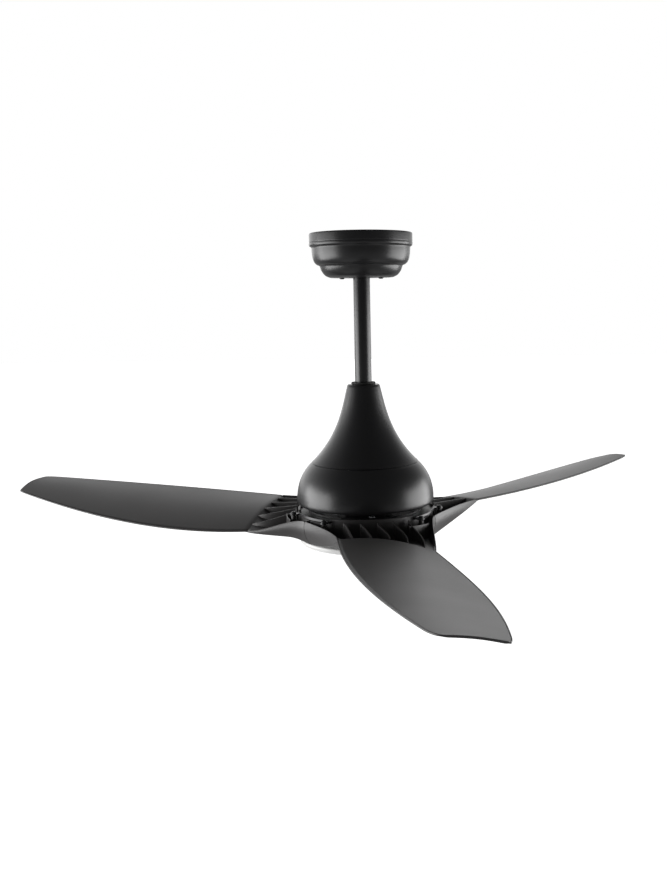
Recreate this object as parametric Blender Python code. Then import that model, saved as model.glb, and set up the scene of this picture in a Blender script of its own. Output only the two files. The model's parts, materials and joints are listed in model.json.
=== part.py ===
"""A three-blade ceiling fan with a light under its hub, built as an assembly of separate pieces.

Lengths are millimetres until they reach a mesh. Heights are measured up from the lower rim of the
motor housing, and CEILING is how far that rim hangs below the ceiling, where the frame's origin is.
A blade's own axis is local +X, and +Y is the counter-clockwise side seen from above.
"""

import math

import bmesh
import bpy
from mathutils import Matrix, Vector

MM = 0.001
GAP = 0.3

# Driving dimensions.
CEILING = 428.0
BLADE_COUNT = 3
BLADE_AZIMUTHS = (38.4, 158.4, 278.4)
ROD_RADIUS = 13.35
ROD_BORE = 11.0
ROD_TOP = 402.0
ROD_FOOT = 95.0

CANOPY_RADIUS = 82.0
CANOPY_FLOOR = 357.0
BALL_RADIUS = 24.0
BALL_HEIGHT = 390.0
SEAT_WALL = 3.2
SEAT_GAP = 0.7
KEY_RADIUS = 2.6

HOUSING_TOP = 189.0
HOUSING_SEAM = 63.0
HOUSING_RADIUS = 111.5
HOUSING_SEAM_RADIUS = 86.5
HOUSING_RIM = -3.0
SHELL = 2.5
COLLAR_RADIUS = 19.5

RING_INNER = 107.0
RING_OUTER = 110.2
BOWL_BOTTOM = -57.5
SECTOR_TOP = -10.5
LUG_ANGLE = 39.0
LUG_RADIUS = 120.5
BOSS_RADIUS = 3.8
BOSS_FEET = {-1: -54.9, 1: -53.0}
FLANGE_TOP = -15.0
FLANGE_THICKNESS = 3.0
FLANGE_EDGE = 112.4
TONGUE_ANGLE = 23.5
LUG_SIZE = 5.5

SHAFT_RADIUS = 8.5
LIGHT_RADIUS = 103.0
DIFFUSER_BOTTOM = -70.0

ROUND_LARGE = 32
ROUND_MEDIUM = 20
ROUND_SMALL = 8


def clear_scene():
    for thing in list(bpy.data.objects):
        bpy.data.objects.remove(thing, do_unlink=True)


# ---------------------------------------------------------------- materials
def material(name, colour, roughness, metallic):
    made = bpy.data.materials.new(name)
    made.use_nodes = True
    shader = made.node_tree.nodes["Principled BSDF"]
    shader.inputs["Base Color"].default_value = (*colour, 1.0)
    shader.inputs["Roughness"].default_value = roughness
    shader.inputs["Metallic"].default_value = metallic
    return made


def make_materials():
    return {
        "satin_black": material("satin_black", (0.012, 0.012, 0.013), 0.42, 0.0),
        "blade_charcoal": material("blade_charcoal", (0.035, 0.033, 0.034), 0.55, 0.0),
        "opal": material("opal", (0.86, 0.86, 0.84), 0.35, 0.0),
        "zinc_steel": material("zinc_steel", (0.55, 0.56, 0.58), 0.35, 1.0),
        "black_screw": material("black_screw", (0.03, 0.03, 0.03), 0.4, 0.6),
        "cast_aluminium": material("cast_aluminium", (0.62, 0.63, 0.64), 0.45, 1.0),
        "lamination": material("lamination", (0.30, 0.31, 0.33), 0.5, 1.0),
        "copper": material("copper", (0.72, 0.33, 0.17), 0.35, 1.0),
        "magnet": material("magnet", (0.08, 0.08, 0.085), 0.5, 0.4),
        "bearing": material("bearing", (0.75, 0.76, 0.78), 0.2, 1.0),
        "board": material("board", (0.82, 0.84, 0.82), 0.5, 0.0),
        "grey_plastic": material("grey_plastic", (0.18, 0.18, 0.19), 0.55, 0.0),
        "rubber": material("rubber", (0.02, 0.02, 0.02), 0.8, 0.0),
    }


# ---------------------------------------------------------------- building helpers
def pivot(name, height, parent=None):
    """An empty on the fan's axis, at a height above the housing rim."""
    empty = bpy.data.objects.new(name, None)
    empty.location = (0.0, 0.0, (height - CEILING) * MM)
    if parent:
        empty.parent = parent
        empty.location.z -= parent.matrix_world.translation.z
    bpy.context.collection.objects.link(empty)
    bpy.context.view_layer.update()
    return empty


def put(name, mesh, finish, parent, spot=(0.0, 0.0, 0.0), turn=(0.0, 0.0, 0.0)):
    """Link a mesh as the piece of that name; spot is in millimetres above the housing rim."""
    piece = bpy.data.objects.new(name, mesh)
    if not mesh.materials:
        mesh.materials.append(finish)
    x, y, height = spot
    piece.location = (x * MM, y * MM, (height - CEILING) * MM)
    piece.rotation_euler = turn
    if parent:
        piece.parent = parent
        piece.location.z -= parent.matrix_world.translation.z
    bpy.context.collection.objects.link(piece)
    return piece


def mesh_from(name, shape, sharp=35.0):
    """A finished mesh from bmesh geometry in millimetres, smooth up to the sharp angle."""
    bmesh.ops.recalc_face_normals(shape, faces=shape.faces)
    bmesh.ops.scale(shape, vec=(MM, MM, MM), verts=shape.verts)
    mesh = bpy.data.meshes.new(name)
    shape.to_mesh(mesh)
    shape.free()
    mesh.shade_smooth()
    mesh.set_sharp_from_angle(angle=math.radians(sharp))
    return mesh


def turned(name, profile, steps):
    """A round piece: the closed (radius, height) outline turned about the vertical axis."""
    shape = bmesh.new()
    corners = [shape.verts.new((radius, 0.0, height)) for radius, height in profile]
    edges = [shape.edges.new((a, b)) for a, b in zip(corners, corners[1:])]
    if profile[0][0] > 0.0:
        edges.append(shape.edges.new((corners[-1], corners[0])))
    bmesh.ops.spin(shape, geom=corners + edges, axis=(0, 0, 1), cent=(0, 0, 0),
                   angle=math.tau, steps=steps, use_duplicate=False)
    bmesh.ops.remove_doubles(shape, verts=shape.verts, dist=0.001)
    return mesh_from(name, shape)


def slab(name, outline, low, high):
    """A flat piece: a plan outline extruded from one height to another."""
    shape = bmesh.new()
    face = shape.faces.new([shape.verts.new((x, y, low)) for x, y in outline])
    grown = bmesh.ops.extrude_face_region(shape, geom=[face])
    moved = [v for v in grown["geom"] if isinstance(v, bmesh.types.BMVert)]
    bmesh.ops.translate(shape, vec=(0.0, 0.0, high - low), verts=moved)
    return mesh_from(name, shape)


def block(name, size, bevel=1.0):
    """A box with slightly rounded edges, centred on its own origin."""
    shape = bmesh.new()
    bmesh.ops.create_cube(shape, size=1.0)
    bmesh.ops.scale(shape, vec=size, verts=shape.verts)
    bmesh.ops.bevel(shape, geom=shape.edges[:], offset=bevel, segments=1, affect="EDGES")
    return mesh_from(name, shape)


def cutter(name, rods, parent):
    """Hidden rods that drill or widen other pieces: (start, end, radius), in rim millimetres."""
    shape = bmesh.new()
    for start, end, radius in rods:
        start, end = Vector(start), Vector(end)
        along = end - start
        turn = along.to_track_quat("Z", "Y").to_matrix().to_4x4()
        place = Matrix.Translation((start + end) / 2) @ turn
        bmesh.ops.create_cone(shape, cap_ends=True, segments=ROUND_SMALL, radius1=radius,
                              radius2=radius, depth=along.length, matrix=place)
    tool = put(name, mesh_from(name, shape), None, parent)
    tool.hide_render = True
    tool.display_type = "WIRE"
    return tool


def drill(piece, tool, operation="DIFFERENCE", solver="EXACT"):
    hole = piece.modifiers.new(tool.name, "BOOLEAN")
    hole.operation = operation
    hole.solver = solver
    hole.object = tool
    return piece


def screw_mesh(name, head_radius, head_height, shank_radius, shank_length):
    """A pan-head screw with its head's underside at height 0 and its shank pointing down."""
    crown = head_height * 0.6
    return turned(name, [
        (0.0, -shank_length),
        (shank_radius, -shank_length),
        (shank_radius, 0.0),
        (head_radius, 0.0),
        (head_radius, crown),
        (head_radius * 0.55, head_height),
        (0.0, head_height),
    ], ROUND_SMALL)


def hex_nut(name, bore, corner, height):
    """A six-sided nut whose six-sided hole clears a round shank of the bore radius."""
    hole = bore / math.cos(math.pi / 6)
    return turned(name, [(hole, 0.0), (corner, 0.0), (corner, height), (hole, height)], 6)


def polar(radius, degrees):
    angle = math.radians(degrees)
    return Vector((radius * math.cos(angle), radius * math.sin(angle)))


def bezier(points, t):
    """A point on the Bezier curve with these control points."""
    level = [Vector(point) for point in points]
    while len(level) > 1:
        level = [a.lerp(b, t) for a, b in zip(level, level[1:])]
    return level[0]


def through_thirds(values, t):
    """The cubic that takes these four values at 0, 1/3, 2/3 and 1."""
    a, b, c, d = values
    s = 3.0 * t
    return (-a * (s - 1) * (s - 2) * (s - 3) / 6 + b * s * (s - 2) * (s - 3) / 2
            - c * s * (s - 1) * (s - 3) / 2 + d * s * (s - 1) * (s - 2) / 6)


# ---------------------------------------------------------------- ceiling mount and canopy
PLATE_HALF = (64.0, 36.5)
PLATE_THICKNESS = 2.5
CEILING_SCREW_X = 50.0
SEAT_FLANGE = 366.0
CANOPY_SCREW_X = 31.0


def hanger_bracket(finish, parent):
    """Ceiling plate, two straps and the round seat that carries the hanger ball."""
    x, y = PLATE_HALF
    top = slab("hanger_bracket", [(-x, -y), (x, -y), (x, y), (-x, y)], CEILING - PLATE_THICKNESS, CEILING)
    bracket = put("hanger_bracket", top, finish, parent)
    seat_radius = BALL_RADIUS + SEAT_GAP
    mouth = 18.0
    seat_low = BALL_HEIGHT - math.sqrt(seat_radius ** 2 - mouth ** 2)
    curve = [BALL_HEIGHT - seat_radius * math.sin(math.radians(a)) for a in (30, 15, 0)]
    seat = turned("bracket_seat", [
        (mouth, SEAT_FLANGE),
        (40.0, SEAT_FLANGE),
        (40.0, SEAT_FLANGE + 3.0),
        (seat_radius + SEAT_WALL, SEAT_FLANGE + 3.0),
        (seat_radius + SEAT_WALL, BALL_HEIGHT + 6.0),
        (seat_radius, BALL_HEIGHT + 6.0),
        (seat_radius, curve[2]),
        (seat_radius * math.cos(math.radians(15)), curve[1]),
        (seat_radius * math.cos(math.radians(30)), curve[0]),
        (mouth, seat_low),
    ], ROUND_MEDIUM)
    tools = [put("bracket_seat", seat, finish, parent)]
    strap = slab("bracket_strap", [(-9.0, -2.0), (9.0, -2.0), (9.0, 2.0), (-9.0, 2.0)],
                 SEAT_FLANGE + 1.0, CEILING - 1.0)
    for side in (-1, 1):
        tools.append(put(f"bracket_strap_{side + 2}", strap.copy(), finish, parent, (0.0, side * 34.0, 0.0)))
    for tool in tools:
        tool.hide_render = True
        tool.display_type = "WIRE"
        drill(bracket, tool, "UNION")
    return bracket


def ball_keys():
    """The two round keys on the tilt axis that stop the ball from turning."""
    reach = BALL_RADIUS + SEAT_GAP + SEAT_WALL / 2
    return [((side * (BALL_RADIUS - 3.0), 0, BALL_HEIGHT), (side * reach, 0, BALL_HEIGHT), KEY_RADIUS)
            for side in (-1, 1)]


def canopy(finish, parent):
    """Bell-shaped ceiling cover: a straight band with a bead, a round bowl and a small lower step."""
    band = CANOPY_RADIUS - 0.3
    outside = [
        (24.0, CANOPY_FLOOR),
        (50.0, CANOPY_FLOOR),
        (55.0, CANOPY_FLOOR + 2.0),
        (61.0, 367.5),
        (65.5, 375.5),
        (73.8, 381.0),
        (77.8, 391.0),
        (78.8, 404.0),
        (CANOPY_RADIUS, 408.5),
        (CANOPY_RADIUS, 411.5),
        (band, 412.5),
        (band, 426.5),
        (band - 1.0, CEILING - GAP),
    ]
    inside = [
        (band - 4.5, CEILING - GAP),
        (75.8, 396.0),
        (62.7, 377.5),
        (52.0, CANOPY_FLOOR + 4.0),
        (48.5, CANOPY_FLOOR + 2.2),
        (24.0, CANOPY_FLOOR + 2.2),
    ]
    return put("canopy", turned("canopy", outside + inside, ROUND_LARGE), finish, parent)


def ceiling_mount(finishes):
    bracket = hanger_bracket(finishes["zinc_steel"], None)
    keys = cutter("bracket_keys", ball_keys(), None)
    drill(bracket, keys, "UNION")
    cover = canopy(finishes["satin_black"], None)
    low = CEILING - PLATE_THICKNESS
    ceiling_holes = [((side * CEILING_SCREW_X, 0, low - 5), (side * CEILING_SCREW_X, 0, CEILING + 5), 3.3)
                     for side in (-1, 1)]
    drill(bracket, cutter("ceiling_screw_holes", ceiling_holes, None))
    flange_holes = [((side * CANOPY_SCREW_X, 0, CANOPY_FLOOR - 6), (side * CANOPY_SCREW_X, 0, 372), 2.3)
                    for side in (-1, 1)]
    holes = cutter("canopy_screw_holes", flange_holes, None)
    drill(bracket, holes)
    drill(cover, holes)
    ceiling_screw = screw_mesh("ceiling_screw", 5.5, 3.5, 3.0, PLATE_THICKNESS)
    canopy_screw = screw_mesh("canopy_screw", 4.0, 2.2, 2.0, 12.5)
    over = (math.pi, 0.0, 0.0)
    for number, side in enumerate((-1, 1), start=1):
        put(f"ceiling_screw_{number}", ceiling_screw, finishes["zinc_steel"], None,
            (side * CEILING_SCREW_X, 0, low - GAP), over)
        put(f"canopy_screw_{number}", canopy_screw, finishes["black_screw"], None,
            (side * CANOPY_SCREW_X, 0, CANOPY_FLOOR - GAP), over)
    put("receiver", block("receiver", (78.0, 38.0, 16.0), 2.0), finishes["grey_plastic"], None, (0, 0, 413.2))
    put("terminal_block", block("terminal_block", (9.0, 30.0, 12.0)), finishes["board"], None,
        (58.0, 0, 407.0))


# ---------------------------------------------------------------- downrod and coupler
BALL_PIN_HEIGHT = 396.0
ROD_BOLT_HEIGHT = 118.0
COUPLER_RADIUS = 20.0
COUPLER_TOP = 150.0
COUPLER_FOOT = 62.0
SET_SCREW_HEIGHT = 138.0


def hanger_ball(finish, parent):
    """Plastic half ball with a flat top, bored for the rod."""
    bore = ROD_RADIUS + GAP
    outside = [(BALL_RADIUS * math.cos(a), BALL_HEIGHT + BALL_RADIUS * math.sin(a))
               for a in (math.radians(d) for d in (-52, -38, -24, -12, 0, 12, 24))]
    top = outside[-1][1]
    profile = [(bore, outside[0][1])] + outside + [(bore, top)]
    return put("hanger_ball", turned("hanger_ball", profile, ROUND_MEDIUM), finish, parent)


def downrod_assembly(finishes, parent):
    ball = hanger_ball(finishes["grey_plastic"], parent)
    key_slots = [((side * (BALL_RADIUS - 4.0), 0, BALL_HEIGHT), (side * 30.0, 0, BALL_HEIGHT),
                  KEY_RADIUS + 0.6) for side in (-1, 1)]
    drill(ball, cutter("ball_key_slots", key_slots, parent))
    rod = put("downrod", turned("downrod", [
        (ROD_BORE, ROD_FOOT),
        (ROD_RADIUS, ROD_FOOT),
        (ROD_RADIUS, ROD_TOP),
        (ROD_BORE, ROD_TOP),
    ], ROUND_MEDIUM), finishes["satin_black"], parent)
    bore = ROD_RADIUS + GAP
    coupler = put("coupler", turned("coupler", [
        (SHAFT_RADIUS + GAP, COUPLER_FOOT),
        (34.0, COUPLER_FOOT),
        (34.0, COUPLER_FOOT + 4.0),
        (COUPLER_RADIUS + 2.0, COUPLER_FOOT + 4.0),
        (COUPLER_RADIUS, COUPLER_FOOT + 6.0),
        (COUPLER_RADIUS, COUPLER_TOP),
        (bore, COUPLER_TOP),
        (bore, ROD_FOOT - GAP),
        (SHAFT_RADIUS + GAP, ROD_FOOT - GAP),
    ], ROUND_MEDIUM), finishes["cast_aluminium"], parent)
    pin_hole = cutter("ball_pin_hole", [((0, -30, BALL_PIN_HEIGHT), (0, 30, BALL_PIN_HEIGHT), 2.8)], parent)
    bolt_hole = cutter("rod_bolt_hole", [((0, -30, ROD_BOLT_HEIGHT), (0, 30, ROD_BOLT_HEIGHT), 3.3)], parent)
    set_hole = cutter("set_screw_hole", [
        ((side * 12.0, 0, SET_SCREW_HEIGHT), (side * 30.0, 0, SET_SCREW_HEIGHT), 2.3) for side in (-1, 1)
    ], parent)
    drill(ball, pin_hole)
    drill(rod, pin_hole)
    drill(rod, bolt_hole)
    drill(coupler, bolt_hole)
    drill(coupler, set_hole)
    lying = (math.pi / 2, 0.0, 0.0)
    pin = turned("ball_pin", [(0, -21), (2.5, -21), (2.5, 21), (0, 21)], ROUND_SMALL)
    put("ball_pin", pin, finishes["zinc_steel"], parent, (0, 0, BALL_PIN_HEIGHT), lying)
    bolt = screw_mesh("rod_bolt", 5.0, 3.5, 3.0, 46.0)
    put("rod_bolt", bolt, finishes["zinc_steel"], parent, (0, -COUPLER_RADIUS - GAP, ROD_BOLT_HEIGHT), lying)
    nut = hex_nut("rod_bolt_nut", 3.0 + GAP, 6.0, 4.5)
    put("rod_bolt_nut", nut, finishes["zinc_steel"], parent,
        (0, COUPLER_RADIUS + GAP + 4.5, ROD_BOLT_HEIGHT), lying)
    for number, side in enumerate((-1, 1), start=1):
        stud = turned(f"set_screw_{number}", [(0, -4.4), (2.0, -4.4), (2.0, 2.6), (1.2, 3.2), (0, 3.2)],
                      ROUND_SMALL)
        put(f"set_screw_{number}", stud, finishes["zinc_steel"], parent,
            (side * 18.3, 0, SET_SCREW_HEIGHT), (0.0, side * math.pi / 2, 0.0))


# ---------------------------------------------------------------- housing
def housing_profile():
    """Outer (radius, height) line of the bell, from its top edge down to its rim."""
    flank = ((26.5, HOUSING_TOP - 2.0), (36.0, 150.0), (41.5, 108.0), (HOUSING_SEAM_RADIUS, HOUSING_SEAM))
    shoulder = ((HOUSING_SEAM_RADIUS, HOUSING_SEAM), (101.5, 49.0), (109.8, 32.0), (HOUSING_RADIUS, 10.0))
    upper = [bezier(flank, step / 6) for step in range(7)]
    lower = [bezier(shoulder, step / 4) for step in range(5)]
    return upper, lower


def inset(line, depth):
    """The same line moved inwards along its own normal."""
    moved = []
    for index, point in enumerate(line):
        before = line[max(index - 1, 0)]
        after = line[min(index + 1, len(line) - 1)]
        along = (after - before).normalized()
        moved.append(point + Vector((along.y, -along.x)) * depth)
    return moved


HOUSING_PLATE_TOP = COUPLER_FOOT - GAP
PLATE_SCREW_RADIUS = 28.0


def housing(finishes, parent):
    upper, lower = housing_profile()
    rod_hole = ROD_RADIUS + 3.0
    inner_upper = [p for p in reversed(inset(upper, SHELL)) if p.y < HOUSING_TOP - 8.0]
    top = [(24.5, HOUSING_TOP)] + [tuple(p) for p in upper]
    top[-1] = (HOUSING_SEAM_RADIUS, HOUSING_SEAM + GAP)
    body = [tuple(p) for p in inner_upper]
    body[0] = (HOUSING_SEAM_RADIUS - SHELL - 1.0, HOUSING_SEAM + GAP)
    crown = [(22.5, HOUSING_TOP - SHELL), (rod_hole, HOUSING_TOP - SHELL), (rod_hole, HOUSING_TOP)]
    put("housing_upper", turned("housing_upper", top + body + crown, ROUND_LARGE),
        finishes["satin_black"], parent)
    rim = [(HOUSING_RADIUS, HOUSING_RIM + 3.0), (HOUSING_RADIUS - 1.0, HOUSING_RIM),
           (HOUSING_RADIUS - 3.0, HOUSING_RIM)]
    inner_lower = [p for p in reversed(inset(lower, SHELL))]
    shelf_root, shelf_tip = HOUSING_SEAM_RADIUS - 3.5, 72.0
    shelf = [(shelf_root, HOUSING_SEAM - 4.0), (shelf_tip, HOUSING_SEAM - 4.0),
             (shelf_tip, HOUSING_SEAM - 1.0), (shelf_root, HOUSING_SEAM - 1.0)]
    wall = [tuple(p) for p in inner_lower if p.y < HOUSING_SEAM - 5.0]
    outline = [tuple(p) for p in lower] + rim + wall + shelf + [(shelf_root + 0.5, HOUSING_SEAM)]
    put("housing_lower", turned("housing_lower", outline, ROUND_LARGE), finishes["satin_black"], parent)
    collar_top = HOUSING_TOP + 3.6
    collar = [(ROD_RADIUS + GAP, HOUSING_TOP + GAP), (COLLAR_RADIUS, HOUSING_TOP + GAP),
              (COLLAR_RADIUS, collar_top - 1.0), (COLLAR_RADIUS - 1.2, collar_top),
              (ROD_RADIUS + GAP, collar_top)]
    put("top_collar", turned("top_collar", collar, ROUND_MEDIUM), finishes["rubber"], parent)


def housing_plate(finishes, parent):
    """Steel disc under the coupler; the lower shell's shelf rests on it."""
    low = HOUSING_PLATE_TOP - 3.2
    edge = 70.5
    disc = turned("housing_plate", [
        (SHAFT_RADIUS + GAP, low),
        (80.0, low),
        (80.0, HOUSING_SEAM - 4.0 - GAP),
        (edge, HOUSING_SEAM - 4.0 - GAP),
        (edge, HOUSING_PLATE_TOP),
        (SHAFT_RADIUS + GAP, HOUSING_PLATE_TOP),
    ], ROUND_LARGE)
    plate = put("housing_plate", disc, finishes["zinc_steel"], parent)
    spots = [polar(PLATE_SCREW_RADIUS, 30 + 120 * n) for n in range(3)]
    holes = cutter("plate_screw_holes", [((x, y, low - 3), (x, y, COUPLER_FOOT + 8), 2.3)
                                         for x, y in spots], parent)
    drill(plate, holes)
    drill(bpy.data.objects["coupler"], holes)
    screw = screw_mesh("plate_screw", 4.0, 2.4, 2.0, 8.0)
    for number, (x, y) in enumerate(spots, start=1):
        put(f"plate_screw_{number}", screw, finishes["zinc_steel"], parent,
            (x, y, COUPLER_FOOT + 4.0 + GAP))


# ---------------------------------------------------------------- motor, fixed side
SHAFT_TOP = 90.0
SHAFT_FOOT = -46.0
STATOR_LOW = 8.0
STATOR_HIGH = 34.0
STATOR_RADIUS = 62.0
TOOTH_COUNT = 12


def motor_shaft(finish, parent):
    profile = [(4.0, SHAFT_FOOT), (SHAFT_RADIUS, SHAFT_FOOT), (SHAFT_RADIUS, SHAFT_TOP), (4.0, SHAFT_TOP)]
    put("motor_shaft", turned("motor_shaft", profile, ROUND_MEDIUM), finish, parent)


def stator(finishes, parent):
    """Laminated core with twelve T-shaped teeth, and the ring of coil ends above and below it."""
    outline = []
    pitch = 360.0 / TOOTH_COUNT
    root, neck, half_stem, half_head = 34.0, 55.0, 3.6, 12.4
    for tooth in range(TOOTH_COUNT):
        centre = tooth * pitch
        half = [(root, 8.0), (root, half_stem * 1.6), (neck, half_stem), (neck + 2, half_head),
                (STATOR_RADIUS, half_head)]
        outline += [tuple(polar(radius, centre - offset)) for radius, offset in half]
        outline += [tuple(polar(STATOR_RADIUS, centre))]
        outline += [tuple(polar(radius, centre + offset)) for radius, offset in reversed(half)]
    core = put("stator_core", slab("stator_core", outline, STATOR_LOW, STATOR_HIGH),
               finishes["lamination"], parent)
    bore = [((0, 0, STATOR_LOW - 5), (0, 0, STATOR_HIGH + 5), SHAFT_RADIUS + GAP + 0.4)]
    drill(core, cutter("stator_bore", bore, parent))
    for name, low, high in (("winding_lower", STATOR_LOW - 9.0, STATOR_LOW - GAP),
                            ("winding_upper", STATOR_HIGH + GAP, STATOR_HIGH + 9.0)):
        middle = (low + high) / 2
        ring = turned(name, [(38.0, low + 1.5), (41.0, low), (49.0, low), (52.0, low + 1.5),
                             (52.0, middle), (52.0, high - 1.5), (49.0, high), (41.0, high),
                             (38.0, high - 1.5)], TOOTH_COUNT * 2)
        put(name, ring, finishes["copper"], parent)


# ---------------------------------------------------------------- motor, turning side
CASING_RADIUS = 78.0
CASING_LOW = FLANGE_TOP + GAP
CASING_JOINT = 22.0
CASING_TOP = 52.0
CASING_WALL = 3.0
BEARING_RADIUS = 17.5
BEARING_HEIGHT = 9.0
CASING_SCREW_RADIUS = 88.0


def rotor_casings(finishes, parent):
    bore = BEARING_RADIUS + GAP
    lip = SHAFT_RADIUS + 3.5
    inner = CASING_RADIUS - CASING_WALL
    lower = [
        (lip, CASING_LOW),
        (94.0, CASING_LOW),
        (94.0, CASING_LOW + 3.0),
        (CASING_RADIUS, CASING_LOW + 3.0),
        (CASING_RADIUS, CASING_JOINT),
        (inner, CASING_JOINT),
        (inner, CASING_LOW + 3.0),
        (bore + 4.0, CASING_LOW + 3.0),
        (bore + 4.0, CASING_LOW + 2.0 + BEARING_HEIGHT),
        (bore, CASING_LOW + 2.0 + BEARING_HEIGHT),
        (bore, CASING_LOW + 2.0),
        (lip, CASING_LOW + 2.0),
    ]
    upper = [
        (lip, CASING_TOP),
        (70.0, CASING_TOP),
        (CASING_RADIUS, CASING_TOP - 6.0),
        (CASING_RADIUS, CASING_JOINT + GAP),
        (inner, CASING_JOINT + GAP),
        (inner, CASING_TOP - 7.0),
        (68.5, CASING_TOP - 3.0),
        (bore + 4.0, CASING_TOP - 3.0),
        (bore + 4.0, CASING_TOP - 2.0 - BEARING_HEIGHT * 0.6),
        (bore, CASING_TOP - 2.0 - BEARING_HEIGHT * 0.6),
        (bore, CASING_TOP - 2.0),
        (lip, CASING_TOP - 2.0),
    ]
    for name, profile in (("rotor_casing_lower", lower), ("rotor_casing_upper", upper)):
        put(name, turned(name, profile, ROUND_LARGE), finishes["satin_black"], parent)
    ring = [(66.0, 6.0), (inner - GAP, 6.0), (inner - GAP, 36.0), (66.0, 36.0)]
    put("magnet_ring", turned("magnet_ring", ring, ROUND_LARGE), finishes["magnet"], parent)
    race = SHAFT_RADIUS + 0.1
    for name, low, tall in (("bearing_lower", CASING_LOW + 2.0 + GAP, BEARING_HEIGHT - 1.0),
                            ("bearing_upper", CASING_TOP - 2.0 - GAP - BEARING_HEIGHT, BEARING_HEIGHT)):
        profile = [(race, low), (BEARING_RADIUS, low), (BEARING_RADIUS, low + tall), (race, low + tall)]
        put(name, turned(name, profile, ROUND_MEDIUM), finishes["bearing"], parent)


def flange_outline():
    """Plan of the blade flange: a disc with three wider tongues, each with two round screw lugs."""
    points = []
    third = 360.0 / BLADE_COUNT
    lug = third / 2 - LUG_ANGLE
    shoulder = 2.3
    plain = third - 2 * TONGUE_ANGLE
    for blade in BLADE_AZIMUTHS:
        seam = blade + third / 2
        points += [polar(FLANGE_EDGE, seam - TONGUE_ANGLE)]
        for side in (-1, 1):
            centre = polar(LUG_RADIUS, seam + side * lug)
            out = seam + side * lug
            points += [polar(FLANGE_EDGE, out - shoulder)]
            points += [centre + polar(LUG_SIZE, out + swing) for swing in (-90, -60, -30, 0, 30, 60, 90)]
            points += [polar(FLANGE_EDGE, out + shoulder)]
            if side < 0:
                points += [polar(FLANGE_EDGE, seam + step) for step in (-11.0, -4.0, 4.0, 11.0)]
        points += [polar(FLANGE_EDGE, seam + TONGUE_ANGLE)]
        points += [polar(RING_INNER - 0.8, seam + TONGUE_ANGLE + plain * step / 9) for step in range(10)]
    return [tuple(p) for p in points]


def blade_flange(finishes, parent):
    low = FLANGE_TOP - FLANGE_THICKNESS
    flange = put("blade_flange", slab("blade_flange", flange_outline(), low, FLANGE_TOP),
                 finishes["satin_black"], parent)
    spots = [polar(CASING_SCREW_RADIUS, blade) for blade in BLADE_AZIMUTHS]
    middle = ((0, 0, low - 5), (0, 0, FLANGE_TOP + 5), 60.0)
    holes = [((x, y, low - 5), (x, y, CASING_LOW + 8), 2.6) for x, y in spots]
    drill(flange, cutter("flange_middle", [middle], parent))
    casing_holes = cutter("casing_screw_holes", holes, parent)
    drill(flange, casing_holes)
    drill(bpy.data.objects["rotor_casing_lower"], casing_holes)
    screw = screw_mesh("casing_screw", 4.5, 2.6, 2.2, 6.6)
    for number, (x, y) in enumerate(spots, start=1):
        put(f"casing_screw_{number}", screw, finishes["zinc_steel"], parent, (x, y, CASING_LOW + 3.0 + GAP))


# ---------------------------------------------------------------- blades
HALF_SPAN = 59.85
BOWL_RADIUS = 111.0
SEAM_RADIUS = 120.0
RIB_COUNT = 5
PAN_FLOOR = 2.5
SKIN = 3.6
CAMBER = 8.5
RIM_HEIGHT = -20.0
WALL_SWELL = 0.25
WALL_SHOULDER = 0.62
LEAD_X = (189.1, 664.0)
TRAIL_X = (175.0, 661.0)
LEAD_CORNER = 8.0
TRAIL_CORNER = 3.0
LEAD_Y = (-64.7, -63.4, -45.0, -10.8)
TRAIL_Y = (84.2, 102.5, 96.0, 69.5)
LEAD_Z = (-17.3, -13.9, -7.8, 0.8)
TRAIL_Z = (-47.1, -47.9, -33.7, -12.3)
PAN_EDGE_MIDDLE = (179.7, 15.5)
SPREAD = {"rim": 1.0, "rib": 0.6, "floor": 0.25, "sector": 0.25}
PAN_STEPS = (0.0, 0.22, 0.48, 0.76, 0.985)
SKIN_STEPS = (0.0, 0.12, 0.28, 0.46, 0.64, 0.82, 0.95, 0.985, 1.0)


def pan_sides(bottom):
    """Plan curves of the root's two long walls, from the seam to the blade's skin."""
    start = BOWL_RADIUS if bottom else SEAM_RADIUS
    lead = polar(start, -HALF_SPAN)
    trail = polar(start, HALF_SPAN)
    pull = 30.0
    lead_side = (lead, lead + polar(pull, 30.0), (147.0, -66.0), (LEAD_X[0], LEAD_Y[0]))
    trail_side = (trail, trail + polar(pull - 4.0, -30.0), (139.0, 94.0), (TRAIL_X[0], TRAIL_Y[0]))
    return lead_side, trail_side


def pan_edge(v):
    """The bowed line where the ribbed pan meets the smooth skin."""
    return bezier(((LEAD_X[0], LEAD_Y[0]), PAN_EDGE_MIDDLE, (TRAIL_X[0], TRAIL_Y[0])), v)


def patch(u, v, start, finish, lead, trail):
    """A plan point between four boundary curves that meet at their corners."""
    along = start(v).lerp(finish(v), u)
    across = lead(u).lerp(trail(u), v)
    corners = start(0).lerp(finish(0), u).lerp(start(1).lerp(finish(1), u), v)
    return along + across - corners


def pan_plan(u, v, bottom):
    lead_side, trail_side = pan_sides(bottom)
    radius = BOWL_RADIUS if bottom else SEAM_RADIUS
    return patch(u, v, lambda t: polar(radius, HALF_SPAN * (2 * t - 1)), pan_edge,
                 lambda t: bezier(lead_side, t), lambda t: bezier(trail_side, t))


def corner_round(w, size):
    """How far a long edge has turned in towards the tip's corner."""
    near = min(max(0.0, (w - 0.95) / 0.05), 1.0)
    return size * (1.0 - math.sqrt(1.0 - near ** 2))


def lead_edge(w):
    x = LEAD_X[0] + (LEAD_X[1] - LEAD_X[0]) * w
    return Vector((x, through_thirds(LEAD_Y, w) + corner_round(w, LEAD_CORNER)))


def trail_edge(w):
    x = TRAIL_X[0] + (TRAIL_X[1] - TRAIL_X[0]) * w
    return Vector((x, through_thirds(TRAIL_Y, w) - corner_round(w, TRAIL_CORNER)))


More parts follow.
